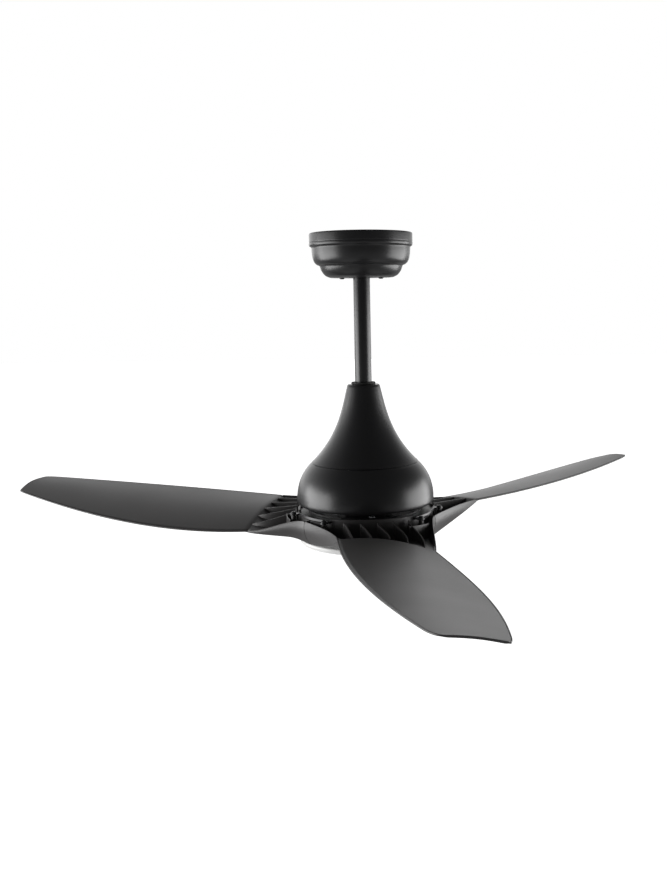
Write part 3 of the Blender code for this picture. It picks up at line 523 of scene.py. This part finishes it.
housing_upper = turned("housing_upper_shell", upper_shell(), SATIN, 192)
housing_lower = turned("housing_lower_shell", lower_shell(), SATIN, 192)
for shell, node in ((housing_upper, "housing_upper"), (housing_lower, "housing_lower")):
    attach(shell, "hanging_unit")
    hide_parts(node)
print("housing:", len(housing_upper.data.polygons) + len(housing_lower.data.polygons), "faces")


# %% [markdown]
# ## Blades
#
# Each blade is one plastic moulding: a thin pitched skin, and a deep open root that wraps a third
# of the hub. The root's outer walls run round to meet the neighbours, so together the three make
# the bowl. A grid of stations (from hub to tip) and lines (from leading to trailing edge)
# describes it all, because every height is a rule: rim, floor, ring wall or skin. A cubic through
# four values gives each edge its sweep.

# %% Blade sizes and edges
HALF_SPAN = 59.74
RING_INNER = 107.0
RING_OUTER = 110.2
SEAM_RADIUS = 120.0
BOWL_RADIUS = 111.0
BOWL_BOTTOM = -57.5
SECTOR_TOP = -10.5
GAP_TOP = -18.3
SKIN = 3.6
PAN_FLOOR = 2.5
CAMBER = 8.5
RIM_HEIGHT = -20.0
LEAD_X = (189.1, 662.8)
TRAIL_X = (175.0, 660.5)
LEAD_CORNER = 8.0
TIP_BULGE = 4.2
TRAIL_CORNER = 3.0
LEAD_Y = (-64.7, -63.4, -45.0, -10.8)
TRAIL_Y = (84.2, 102.5, 96.0, 69.5)
LEAD_Z = (-17.3, -13.9, -7.8, 0.8)
TRAIL_Z = (-47.1, -47.9, -33.7, -12.3)
PAN_EDGE = ((LEAD_X[0], LEAD_Y[0]), (179.7, 15.5), (TRAIL_X[0], TRAIL_Y[0]))
BLADE_AZIMUTHS = (38.4, 158.4, 278.4)


def through_thirds(values, t):
    """The cubic that takes these four values at 0, 1/3, 2/3 and 1."""
    a, b, c, d = values
    s = 3.0 * t
    return (-a * (s - 1) * (s - 2) * (s - 3) / 6 + b * s * (s - 2) * (s - 3) / 2
            - c * s * (s - 1) * (s - 3) / 2 + d * s * (s - 1) * (s - 2) / 6)


def patch(u, v, start, finish, lead, trail):
    """A plan point between four boundary curves that meet at their corners."""
    along = start(v).lerp(finish(v), u)
    across = lead(u).lerp(trail(u), v)
    corners = start(0).lerp(finish(0), u).lerp(start(1).lerp(finish(1), u), v)
    return along + across - corners


def root_plan(u, v, radius):
    """Plan of the root, from an arc round the hub to the line where the skin begins."""
    lead = polar(radius, -HALF_SPAN)
    trail = polar(radius, HALF_SPAN)
    lead_side = (lead, lead + polar(30.0, 30.0), (147.0, -66.0), PAN_EDGE[0])
    trail_side = (trail, trail + polar(26.0, -30.0), (139.0, 94.0), PAN_EDGE[2])
    return patch(u, v, lambda t: polar(radius, HALF_SPAN * (2 * t - 1)), lambda t: bezier(PAN_EDGE, t),
                 lambda t: bezier(lead_side, t), lambda t: bezier(trail_side, t))


def corner_round(w, size):
    """How far a long edge has turned in towards the tip's corner."""
    near = min(max(0.0, (w - 0.95) / 0.05), 1.0)
    return size * (1.0 - math.sqrt(1.0 - near ** 2))


def lead_edge(w):
    x = LEAD_X[0] + (LEAD_X[1] - LEAD_X[0]) * w
    return Vector((x, through_thirds(LEAD_Y, w) + corner_round(w, LEAD_CORNER)))


def trail_edge(w):
    x = TRAIL_X[0] + (TRAIL_X[1] - TRAIL_X[0]) * w
    return Vector((x, through_thirds(TRAIL_Y, w) - corner_round(w, TRAIL_CORNER)))


def tip_edge(v):
    return lead_edge(1.0).lerp(trail_edge(1.0), v) + Vector((TIP_BULGE * math.sin(math.pi * v), 0.0))


def skin_plan(w, v):
    return patch(w, v, lambda t: bezier(PAN_EDGE, t), tip_edge, lead_edge, trail_edge)


def skin_height(w, v):
    low = through_thirds(LEAD_Z, w)
    high = through_thirds(TRAIL_Z, w)
    return low + (high - low) * v + CAMBER * (1.0 - 0.6 * w) * math.sin(math.pi * v)


def smooth_step(u):
    return u * u * (3.0 - 2.0 * u)


def root_bottom(u, v):
    """Height of the underside, from the flat bowl at the ring up to the skin."""
    gentle = u ** 1.7
    quick = smooth_step(min(1.0, u / 0.4))
    lift = gentle + (quick - gentle) * v ** 3
    return BOWL_BOTTOM + (skin_height(0.0, v) - SKIN - BOWL_BOTTOM) * lift


def rim_height(u, v):
    return RIM_HEIGHT + (skin_height(0.0, v) - RIM_HEIGHT) * smooth_step(u) ** 1.25


def wall_points(top, under):
    """The inner points of a side wall: swelling out below the rim, then turning in to the floor."""
    top, under = Vector(top), Vector(under)
    controls = [top]
    for swell, fall in ((0.30, 0.20), (0.24, 0.56)):
        spot = top.xy + (top.xy - under.xy) * swell
        controls.append(Vector((spot.x, spot.y, top.z + (under.z - top.z) * fall)))
    return [bezier((*controls, under), step / 10) for step in range(1, 10)]


print("blade reaches", round(tip_edge(0.9).length), "mm from the axis")


# %% [markdown]
# The lines across the blade carry their own small shapes: near each side there are five that
# round the top of the rim, then two that make the foot of the wall. Along the skin the same five
# lines round its thin edge.

# %% Blade grid
RIM_LINES = ((0.0, 1.1), (0.25, 0.35), (1.1, 0.0), (1.95, 0.35), (2.3, 1.1))
FOOT_LINES = ((4.4, 1.6), (5.4, 0.0))
HEAD_WIDTH = 251.0
FOOT_WIDTH = 150.0
FLOOR_LINES = 26
STEP_LINES = (0.2030, 0.2046)


def cross_lines():
    """(place at hub, place at skin, role, drop) for every line from the leading edge across."""
    side = [(mm / HEAD_WIDTH, mm / FOOT_WIDTH, "rim", drop) for mm, drop in RIM_LINES]
    side += [(mm / HEAD_WIDTH, mm / FOOT_WIDTH, "floor", -rise) for mm, rise in FOOT_LINES]
    first, last = side[-1][0], 1.0 - side[-1][0]
    inner, outer = side[-1][1], 1.0 - side[-1][1]
    floor = []
    for index in range(1, FLOOR_LINES):
        share = index / FLOOR_LINES
        floor.append([first + (last - first) * share, inner + (outer - inner) * share, "floor", 0.0])
    for edge, sign in ((STEP_LINES, 1), (tuple(1 - s for s in STEP_LINES), -1)):
        nearest = sorted(floor, key=lambda line: abs(line[0] - sum(edge) / 2))[:2]
        nearest.sort(key=lambda line: sign * line[0])
        nearest[0][0], nearest[1][0] = edge
    mirrored = [(1 - head, 1 - foot, role, drop) for head, foot, role, drop in reversed(side)]
    return side + sorted(map(tuple, floor)) + mirrored


def blade_rows():
    """Rows of (top, underside) points in millimetres, from the hub's ring to the tip."""
    lines = cross_lines()
    rows = []
    for radius, under, drop in ((RING_INNER, RING_INNER, 0.7), (RING_INNER + 0.6, RING_INNER + 0.2, 0.0),
                                (RING_OUTER - 0.9, 108.4, 0.0), (RING_OUTER, 108.9, 1.0),
                                (RING_OUTER + 0.7, 109.6, None), (RING_OUTER + 1.6, 110.2, None)):
        row = []
        for head, foot, role, fall in lines:
            inside = STEP_LINES[1] - 0.0001 <= head <= 1 - STEP_LINES[1] + 0.0001
            height = SECTOR_TOP if inside else GAP_TOP
            angle = HALF_SPAN * (2 * head - 1)
            top = height - drop if drop is not None else pan_height(0.0, head, role, fall)
            if drop is None and radius < RING_OUTER + 1.0 and role == "floor":
                top += 1.2
            row.append(((*polar(radius, angle), top), (*polar(under, angle), BOWL_BOTTOM)))
        rows.append(row)
    for step in range(19):
        u = step / 18 * 0.985
        sweep = smooth_step(u)
        row = []
        for head, foot, role, fall in lines:
            v = head + (foot - head) * sweep
            under = root_plan(u, v, BOWL_RADIUS)
            spread = 1.0 if role == "rim" else 0.25
            top = under.lerp(root_plan(u, v, SEAM_RADIUS), spread)
            row.append(((*top, pan_height(u, v, role, fall)), (*under, root_bottom(u, v))))
        rows.append(row)
    stations = [0.0, 0.003, 0.008] + [0.02 + 0.93 * step / 44 for step in range(45)]
    stations += [0.95 + 0.05 * math.sin(math.pi / 2 * step / 10) for step in range(1, 11)]
    for w in stations:
        row = []
        soften = max(0.0, (0.008 - w) / 0.008) * 0.9
        for head, foot, role, fall in lines:
            plan = skin_plan(w, foot)
            top = skin_height(w, foot) - (fall if role == "rim" else 0.0) - soften
            thick = SKIN * (1.0 - 0.18 * w) - (fall * 1.4 if role == "rim" else 0.0)
            edge = min(1.0, 0.55 + 5.0 * foot, 0.55 + 5.0 * (1.0 - foot))
            row.append(((*plan, top), (*plan, top - thick * edge)))
        rows.append(row)
    return rows


def pan_height(u, v, role, fall):
    floor = root_bottom(u, v) + PAN_FLOOR
    if role == "rim":
        return max(rim_height(u, v) - fall, floor)
    return floor - fall


def blade_shell_mesh():
    shape = bmesh.new()
    points = blade_rows()
    rows = []
    for row in points:
        rows.append([(shape.verts.new(place(*top)), shape.verts.new(place(*under))) for top, under in row])
    for near, far in zip(rows, rows[1:]):
        for (a, a_low), (b, b_low), (c, c_low), (d, d_low) in zip(near, far, far[1:], near[1:]):
            shape.faces.new((a, b, c, d))
            shape.faces.new((a_low, d_low, c_low, b_low))
    for side in (0, -1):
        walls = []
        for row, spots in zip(rows, points):
            middle = [shape.verts.new(place(*spot)) for spot in wall_points(*spots[side])]
            walls.append([row[side][0]] + middle + [row[side][1]])
        for near, far in zip(walls, walls[1:]):
            for a, b, c, d in zip(near, near[1:], far[1:], far):
                shape.faces.new((a, b, c, d))
        shape.faces.new(walls[0])
        shape.faces.new(walls[-1])
    for row in (rows[0], rows[-1]):
        for (a, a_low), (b, b_low) in zip(row, row[1:]):
            shape.faces.new((a, a_low, b_low, b))
    return facing_out(mesh_of("blade_shell", shape))


shell_mesh = blade_shell_mesh()
print("one blade shell:", len(shell_mesh.polygons), "faces")


# %% [markdown]
# ## Ribs in the blade roots
#
# Ribs stiffen the open root. They leave the ring wall, lean over in a shallow S and die out where
# the skin begins; on the trailing side one short cross wall ties the last of them to the rim. A
# Geometry Nodes tree is the natural tool: each rib is only a line with a depth, which the tree
# drops to the floor, thickens and closes.

# %% The rib tree
def rib_tree():
    group, start, end = geometry_group(
        "moulded_rib", [("Thickness", "NodeSocketFloat", 0.0016), ("Material", "NodeSocketMaterial", None)])
    depth = add(group, "GeometryNodeInputNamedAttribute", {"Name": "depth"}, data_type="FLOAT")
    down = add(group, "ShaderNodeCombineXYZ", {"X": 0.0, "Y": 0.0, "Z": -1.0})
    sheet = add(group, "GeometryNodeExtrudeMesh", {"Mesh": start.outputs[0], "Offset": down.outputs[0],
                                                   "Offset Scale": depth.outputs[0]}, mode="EDGES")
    half = maths(group, "MULTIPLY", start.outputs["Thickness"], -0.5)
    normal = add(group, "GeometryNodeInputNormal")
    shift = add(group, "ShaderNodeVectorMath", {0: normal.outputs[0], "Scale": half}, operation="SCALE")
    centred = add(group, "GeometryNodeSetPosition", {"Geometry": sheet.outputs["Mesh"],
                                                     "Offset": shift.outputs[0]})
    thick = add(group, "GeometryNodeExtrudeMesh", {"Mesh": centred.outputs[0], "Individual": False,
                                                   "Offset Scale": start.outputs["Thickness"]}, mode="FACES")
    back = add(group, "GeometryNodeFlipFaces", {"Mesh": centred.outputs[0]})
    both = add(group, "GeometryNodeJoinGeometry")
    group.links.new(thick.outputs["Mesh"], both.inputs[0])
    group.links.new(back.outputs[0], both.inputs[0])
    merged = add(group, "GeometryNodeMergeByDistance", {"Geometry": both.outputs[0], "Distance": 1e-6})
    real = add(group, "GeometryNodeRealizeInstances", {"Geometry": merged.outputs[0]})
    painted = add(group, "GeometryNodeSetMaterial", {"Geometry": real.outputs[0],
                                                     "Material": start.outputs["Material"]})
    group.links.new(painted.outputs[0], end.inputs[0])
    return group


RIBS = 5
RIB_STEPS = 18
BOSS_ANGLE = 39.0
BOSS_RADIUS = 120.5
BOSS_TOP_RADIUS = 3.8
BOSS_TAPER = 1.12
BOSS_FEET = {-1: -46.0, 1: -50.0}


def rib_line(head, foot):
    """(x, y, top, floor) along one long rib."""
    line = []
    for step in range(RIB_STEPS + 1):
        u = 0.02 + 0.965 * step / RIB_STEPS
        sweep = u * u * (3 - 2 * u)
        v = head + (foot - head) * sweep
        start = SECTOR_TOP - 4.0
        top = start + (skin_height(0.0, v) - start) * u ** 0.9
        plan = root_plan(u, v, BOWL_RADIUS).lerp(root_plan(u, v, SEAM_RADIUS), 0.45)
        floor = root_bottom(u, v) + 1.2
        line.append((plan.x, plan.y, max(top, floor + 1.5), floor))
    return line


def cross_wall(start_v, end_v, u):
    """A short wall that runs across, between a long rib and the rim."""
    line = []
    for step in range(7):
        v = start_v + (end_v - start_v) * step / 6
        plan = root_plan(u, v, BOWL_RADIUS).lerp(root_plan(u, v, SEAM_RADIUS), 0.45)
        line.append((plan.x, plan.y, rim_height(u, v) + 0.6, root_bottom(u, v) + 1.2))
    return line


def rib_source():
    lines = [rib_line(0.295 + 0.112 * rib, 0.152 + 0.18 * rib) for rib in range(RIBS)]
    lines += [cross_wall(0.743, 0.965, 0.32)]
    spots = []
    edges = []
    depths = []
    for line in lines:
        for index, (x, y, top, floor) in enumerate(line):
            if index:
                edges.append((len(spots) - 1, len(spots)))
            spots.append(place(x, y, top))
            depths.append((top - floor) * MM)
    mesh = bpy.data.meshes.new("rib_lines")
    mesh.from_pydata(spots, edges, [])
    mesh.attributes.new("depth", "FLOAT", "POINT").data.foreach_set("value", depths)
    source = bpy.data.objects.new("rib_lines", mesh)
    bpy.context.collection.objects.link(source)
    return source


CHARCOAL = FINISHES["blade_charcoal"]
ribs_mesh = evaluated_mesh(rib_source(), rib_tree(), {"Thickness": 0.0017, "Material": CHARCOAL}, "ribs")
print("ribs of one blade:", len(ribs_mesh.polygons), "faces")


# %% [markdown]
# ## Putting a blade together
#
# The shell, its ribs and the two screw bosses are one moulding, so they become one mesh.
# The mesh is then copied and turned in place for each of the three azimuths, which keeps every
# object at the origin.

# %% Blades in place
def boss_mesh():
    """Screw bosses under the flange lugs; they end above the floor, clear of the curved wall."""
    shape = bmesh.new()
    high = GAP_TOP - 0.2
    for side, foot in BOSS_FEET.items():
        x, y = polar(BOSS_RADIUS, side * BOSS_ANGLE)
        bmesh.ops.create_cone(shape, cap_ends=True, segments=40,
                              radius1=BOSS_TOP_RADIUS * MM * BOSS_TAPER,
                              radius2=BOSS_TOP_RADIUS * MM, depth=(high - foot) * MM,
                              matrix=Matrix.Translation(place(x, y, (foot + high) / 2)))
    return mesh_of("bosses", shape)


def joined(name, meshes):
    shape = bmesh.new()
    for part in meshes:
        shape.from_mesh(part)
    return mesh_of(name, shape)


moulding = joined("blade_moulding", [shell_mesh, facing_out(ribs_mesh), boss_mesh()])
for number, azimuth in enumerate(BLADE_AZIMUTHS, start=1):
    copy = moulding.copy()
    copy.transform(Matrix.Rotation(math.radians(azimuth), 4, "Z"))
    blade = finish_object(f"blade_{number}_moulding", copy, CHARCOAL, 34.0)
    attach(blade, "rotor")
    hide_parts(f"blade_{number}")
print("three blades, each", len(moulding.polygons), "faces")


# %% [markdown]
# ## Blade flange
#
# The flange is the pressed plate that turns with the motor. Each of its three tongues reaches out
# over the joint between two blades, carries two screw lugs, and has a low hoop standing along its
# edge. Plate and hoops are pressed from one sheet, so they are one mesh here.

# %% Flange plate and hoops
FLANGE_LOW = -17.0
FLANGE_EDGE = 112.4
FLANGE_HOLE = 60.0
HOOP_TOP = -13.2
HOOP_WALL = 1.3
TONGUE_ANGLE = 23.5
LUG_SIZE = 5.5
LUG_FROM_SEAM = 60.0 - BOSS_ANGLE


def flange_outline():
    """Plan of the plate as millimetre points, once round."""
    points = []
    for azimuth in BLADE_AZIMUTHS:
        seam = azimuth + 60.0
        points.append(polar(FLANGE_EDGE, seam - TONGUE_ANGLE))
        for side in (-1, 1):
            out = seam + side * LUG_FROM_SEAM
            points.append(polar(FLANGE_EDGE, out - 2.3))
            centre = polar(BOSS_RADIUS, out)
            points += [centre + polar(LUG_SIZE, out + swing) for swing in range(-90, 91, 10)]
            points.append(polar(FLANGE_EDGE, out + 2.3))
            if side < 0:
                points += [polar(FLANGE_EDGE, seam + step) for step in range(-17, 18, 2)]
        points.append(polar(FLANGE_EDGE, seam + TONGUE_ANGLE))
        plain = 120.0 - 2 * TONGUE_ANGLE
        points += [polar(RING_INNER - 0.8, seam + TONGUE_ANGLE + plain * step / 36) for step in range(37)]
    return points


def skin_between(shape, loops):
    """Quads between each closed loop of vertices and the next one."""
    for near, far in zip(loops, loops[1:]):
        for index in range(len(near)):
            after = (index + 1) % len(near)
            shape.faces.new((near[index], near[after], far[after], far[index]))


def walled(shape, outer, inner, low, high):
    """A closed ring-shaped wall between two plan loops with the same number of points."""
    loops = [[shape.verts.new(place(*spot, height)) for spot in loop]
             for loop, height in ((outer, low), (outer, high), (inner, high), (inner, low))]
    skin_between(shape, loops + loops[:1])


def hoop(shape, seam):
    """One low wall standing along the edge of a tongue."""
    swing = TONGUE_ANGLE - 0.5
    steps = [seam - swing + 2 * swing * step / 40 for step in range(41)]
    rings = []
    for angle in steps:
        spots = ((FLANGE_EDGE - HOOP_WALL, FLANGE_TOP - 0.5), (FLANGE_EDGE, FLANGE_TOP - 0.5),
                 (FLANGE_EDGE, HOOP_TOP - 0.3), (FLANGE_EDGE - 0.3, HOOP_TOP),
                 (FLANGE_EDGE - HOOP_WALL + 0.3, HOOP_TOP), (FLANGE_EDGE - HOOP_WALL, HOOP_TOP - 0.3))
        rings.append([shape.verts.new(place(*polar(radius, angle), height)) for radius, height in spots])
    skin_between(shape, rings)
    shape.faces.new(rings[0])
    shape.faces.new(rings[-1])


def flange_mesh():
    shape = bmesh.new()
    outer = flange_outline()
    inner = [point.normalized() * FLANGE_HOLE for point in outer]
    walled(shape, outer, inner, FLANGE_LOW, FLANGE_TOP)
    for azimuth in BLADE_AZIMUTHS:
        hoop(shape, azimuth + 60.0)
    return facing_out(mesh_of("flange", shape))


flange = finish_object("blade_flange_plate", flange_mesh(), SATIN, 30.0)
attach(flange, "rotor")
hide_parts("blade_flange")
print("flange:", len(flange.data.polygons), "faces")


# %% [markdown]
# ## Screws
#
# The screws that show are plain pan heads with a cross recess. Six hold the blades and two hold
# the canopy. One Geometry Nodes tree cuts the recess into a head, adds the shank, and puts a copy
# at every point of its input, each turned by its own random angle as driven screws are.

# %% The screw tree
def screw_tree():
    group, start, end = geometry_group(
        "driven_screws", [("Head Radius", "NodeSocketFloat", 0.0043),
                          ("Head Height", "NodeSocketFloat", 0.0032),
                          ("Shank Length", "NodeSocketFloat", 0.011), ("Tilt", "NodeSocketFloat", 0.0),
                          ("Seed", "NodeSocketInt", 4), ("Material", "NodeSocketMaterial", None)])
    radius, height = start.outputs["Head Radius"], start.outputs["Head Height"]
    length = start.outputs["Shank Length"]
    low = maths(group, "MULTIPLY", height, 0.5)

    def moved(shape, amount):
        offset = add(group, "ShaderNodeCombineXYZ", {"Z": amount})
        return add(group, "GeometryNodeTransform", {"Geometry": shape.outputs[0],
                                                    "Translation": offset.outputs[0]})

    base = add(group, "GeometryNodeMeshCylinder", {"Vertices": 32, "Radius": radius, "Depth": low})
    crown = add(group, "GeometryNodeMeshCone", {"Vertices": 32, "Radius Bottom": radius, "Depth": low,
                                                "Radius Top": maths(group, "MULTIPLY", radius, 0.62)})
    shank = add(group, "GeometryNodeMeshCylinder",
                {"Vertices": 20, "Radius": maths(group, "MULTIPLY", radius, 0.46), "Depth": length})
    based = moved(base, maths(group, "MULTIPLY", height, 0.25))
    crowned = moved(crown, low)
    sunk = moved(shank, maths(group, "MULTIPLY_ADD", length, -0.5, 0.0003))
    whole = add(group, "GeometryNodeMeshBoolean", operation="UNION")
    for piece in (based, crowned, sunk):
        group.links.new(piece.outputs[0], whole.inputs["Mesh 2"])
    long, thin = maths(group, "MULTIPLY", radius, 1.15), maths(group, "MULTIPLY", radius, 0.24)
    cut = add(group, "GeometryNodeMeshBoolean", {"Mesh 1": whole.outputs["Mesh"]}, operation="DIFFERENCE")
    for across, along in ((long, thin), (thin, long)):
        size = add(group, "ShaderNodeCombineXYZ", {"X": across, "Y": along, "Z": low})
        bar = add(group, "GeometryNodeMeshCube", {"Size": size.outputs[0]})
        group.links.new(moved(bar, height).outputs[0], cut.inputs["Mesh 2"])
    spin = add(group, "FunctionNodeRandomValue", {"Seed": start.outputs["Seed"]}, data_type="FLOAT")
    turn = add(group, "ShaderNodeCombineXYZ", {"X": start.outputs["Tilt"], "Z": spin.outputs[1]})
    copies = add(group, "GeometryNodeInstanceOnPoints",
                 {"Points": start.outputs[0], "Instance": cut.outputs["Mesh"], "Rotation": turn.outputs[0]})
    real = add(group, "GeometryNodeRealizeInstances", {"Geometry": copies.outputs[0]})
    painted = add(group, "GeometryNodeSetMaterial", {"Geometry": real.outputs[0],
                                                     "Material": start.outputs["Material"]})
    group.links.new(painted.outputs[0], end.inputs[0])
    return group


SCREWS = screw_tree()


def driven_screws(name, spots, values, body, nodes):
    mesh = bpy.data.meshes.new(f"{name}_spots")
    mesh.from_pydata([place(*spot) for spot in spots], [], [])
    source = bpy.data.objects.new(f"{name}_spots", mesh)
    bpy.context.collection.objects.link(source)
    surface = FINISHES["black_screw"]
    made = evaluated_mesh(source, SCREWS, {**values, "Material": surface}, name)
    screws = finish_object(name, made, surface, 30.0)
    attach(screws, body)
    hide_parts(*nodes)
    return screws


blade_spots = [(*polar(BOSS_RADIUS, azimuth + side * BOSS_ANGLE), FLANGE_TOP)
               for azimuth in BLADE_AZIMUTHS for side in (-1, 1)]
blade_screws = driven_screws("blade_screw_set", blade_spots,
                             {"Head Radius": 0.0043, "Head Height": 0.0032, "Shank Length": 0.011,
                              "Tilt": 0.0}, "rotor",
                             [f"blade_screw_{n}{letter}" for n in (1, 2, 3) for letter in "ab"])
canopy_spots = [(side * CANOPY_SCREW_X, 0.0, CANOPY_FLOOR) for side in (-1, 1)]
canopy_screws = driven_screws("canopy_screw_set", canopy_spots,
                              {"Head Radius": 0.0040, "Head Height": 0.0022, "Shank Length": 0.011,
                               "Tilt": math.pi}, "ceiling_mount", ["canopy_screw_1", "canopy_screw_2"])
print("screws:", len(blade_screws.data.polygons) + len(canopy_screws.data.polygons), "faces")


# %% [markdown]
# ## Light cover
#
# The light cover is an opal dish, turned from a soft profile. Its neck twists on to the rim of
# the light plate inside the hub, and a wider lip shows as a pale edge below the bowl.

# %% Light cover
def cover_profile():
    outer = [Vector((100.6, -54.4)), Vector((103.0, -54.4))]
    outer += rounded([(103.0, -55.5), (103.0, -58.3), (107.0, -59.2)], 0.6, 3)
    outer += curve_run(((107.2, -59.3), (109.2, -60.4), (109.2, -67.6), (105.6, -68.6), (97.0, -69.5)), 16)
    outer += curve_run(((95.0, -69.6), (60.0, -70.0), (30.0, -70.0), (0.0, -70.0)), 20)
    inner = curve_run(((0.0, -68.0), (30.0, -68.0), (60.0, -68.0), (94.0, -67.4)), 16)
    inner += curve_run(((95.0, -67.4), (106.8, -66.2), (107.0, -62.0), (101.2, -60.6)), 10)
    inner += [Vector((100.6, -60.2)), Vector((100.6, -57.0))]
    return outer + inner


cover = turned("light_cover_dish", cover_profile(), FINISHES["opal"], 160)
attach(cover, "light_cover")
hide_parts("diffuser")
print("light cover:", len(cover.data.polygons), "faces")


# %% [markdown]
# ## Studio
#
# A pale floor far below, a surround, and a soft box on each side. Floor and surround are white
# only in view. What they give the object is set apart from that: a little from the floor and
# from all round, and more near the horizon behind and to the left. The near-black shells then
# show two broad highlights with a dark middle, as satin paint does between two soft boxes.

# %% Floor, light and camera
FLOOR_GLOW = 0.12
BACK_GLOW = 2.0
AMBIENT = 0.09
AIM = (0.0, 0.0, -0.45)
BOX_SIZE = (2.2, 1.1)
LEFT_POWER = 44.0
RIGHT_POWER = 38.0
LENS = 39.51
SHIFT = -0.0726
EYE = (0.0534, -1.5545, 0.3222)
PITCH = 0.1434
ROLL = 0.0140


def seen_only(tree, seen, otherwise):
    """A strength that is one value in view and another for every other ray."""
    path = tree.nodes.new("ShaderNodeLightPath").outputs["Is Camera Ray"]
    pick = tree.nodes.new("ShaderNodeMix")
    tree.links.new(path, pick.inputs["Factor"])
    for socket, value in ((pick.inputs[2], otherwise), (pick.inputs[3], seen)):
        if hasattr(value, "links"):
            tree.links.new(value, socket)
        else:
            socket.default_value = value
    return pick.outputs[0]


def studio():
    shape = bmesh.new()
    bmesh.ops.create_grid(shape, x_segments=1, y_segments=1, size=30.0,
                          matrix=Matrix.Translation((0.0, 10.0, -2.6)))
    mesh = mesh_of("studio_floor", shape)
    floor = bpy.data.objects.new("studio_floor", mesh)
    bpy.context.collection.objects.link(floor)
    pale = bpy.data.materials.new("pale_floor")
    pale.use_nodes = True
    shader = pale.node_tree.nodes["Principled BSDF"]
    shader.inputs["Base Color"].default_value = (0.9, 0.9, 0.9, 1.0)
    shader.inputs["Roughness"].default_value = 0.9
    shader.inputs["Emission Color"].default_value = (1.0, 1.0, 1.0, 1.0)
    pale.node_tree.links.new(seen_only(pale.node_tree, 1.0, FLOOR_GLOW), shader.inputs["Emission Strength"])
    mesh.materials.append(pale)


def surround():
    world = bpy.data.worlds.new("studio_surround")
    world.use_nodes = True
    bpy.context.scene.world = world
    tree = world.node_tree
    tree.nodes.clear()
    direction = tree.nodes.new("ShaderNodeTexCoord").outputs["Generated"]
    split = tree.nodes.new("ShaderNodeSeparateXYZ")
    tree.links.new(direction, split.inputs[0])
    leftward = maths(tree, "MULTIPLY_ADD", split.outputs["X"], -0.38, -0.02)
    behind = maths(tree, "MULTIPLY_ADD", split.outputs["Y"], 0.85, leftward)
    behind = maths(tree, "MINIMUM", maths(tree, "MAXIMUM", behind, 0.0), 1.0)
    level = maths(tree, "ABSOLUTE", split.outputs["Z"])
    level = maths(tree, "MAXIMUM", maths(tree, "MULTIPLY_ADD", level, -1.05, 1.0), 0.0)
    glow = maths(tree, "MULTIPLY_ADD", maths(tree, "MULTIPLY", behind, level), BACK_GLOW, AMBIENT)
    background = tree.nodes.new("ShaderNodeBackground")
    background.inputs["Color"].default_value = (1.0, 1.0, 1.0, 1.0)
    tree.links.new(seen_only(tree, 1.0, glow), background.inputs["Strength"])
    output = tree.nodes.new("ShaderNodeOutputWorld")
    tree.links.new(background.outputs[0], output.inputs["Surface"])


def soft_box(name, spot, target, width, height, power):
    light = bpy.data.lights.new(name, "AREA")
    light.shape = "RECTANGLE"
    light.size = width
    light.size_y = height
    light.energy = power
    lamp = bpy.data.objects.new(name, light)
    lamp.location = spot
    lamp.rotation_euler = (Vector(target) - Vector(spot)).to_track_quat("-Z", "Y").to_euler()
    bpy.context.collection.objects.link(lamp)


def camera():
    data = bpy.data.cameras.new("view")
    data.lens = LENS
    data.shift_x = SHIFT
    eye = bpy.data.objects.new("view", data)
    turn = Matrix.Rotation(math.pi / 2 - PITCH, 4, "X") @ Matrix.Rotation(-ROLL, 4, "Z")
    eye.matrix_world = Matrix.Translation((EYE[0], EYE[1], LEVEL + EYE[2])) @ turn
    bpy.context.collection.objects.link(eye)
    bpy.context.scene.camera = eye


studio()
surround()
soft_box("left_box", (-2.0, -0.14, -0.50), AIM, *BOX_SIZE, LEFT_POWER)
soft_box("right_box", (1.95, 0.40, -0.50), AIM, *BOX_SIZE, RIGHT_POWER)
camera()
bpy.context.scene.view_settings.view_transform = "Standard"
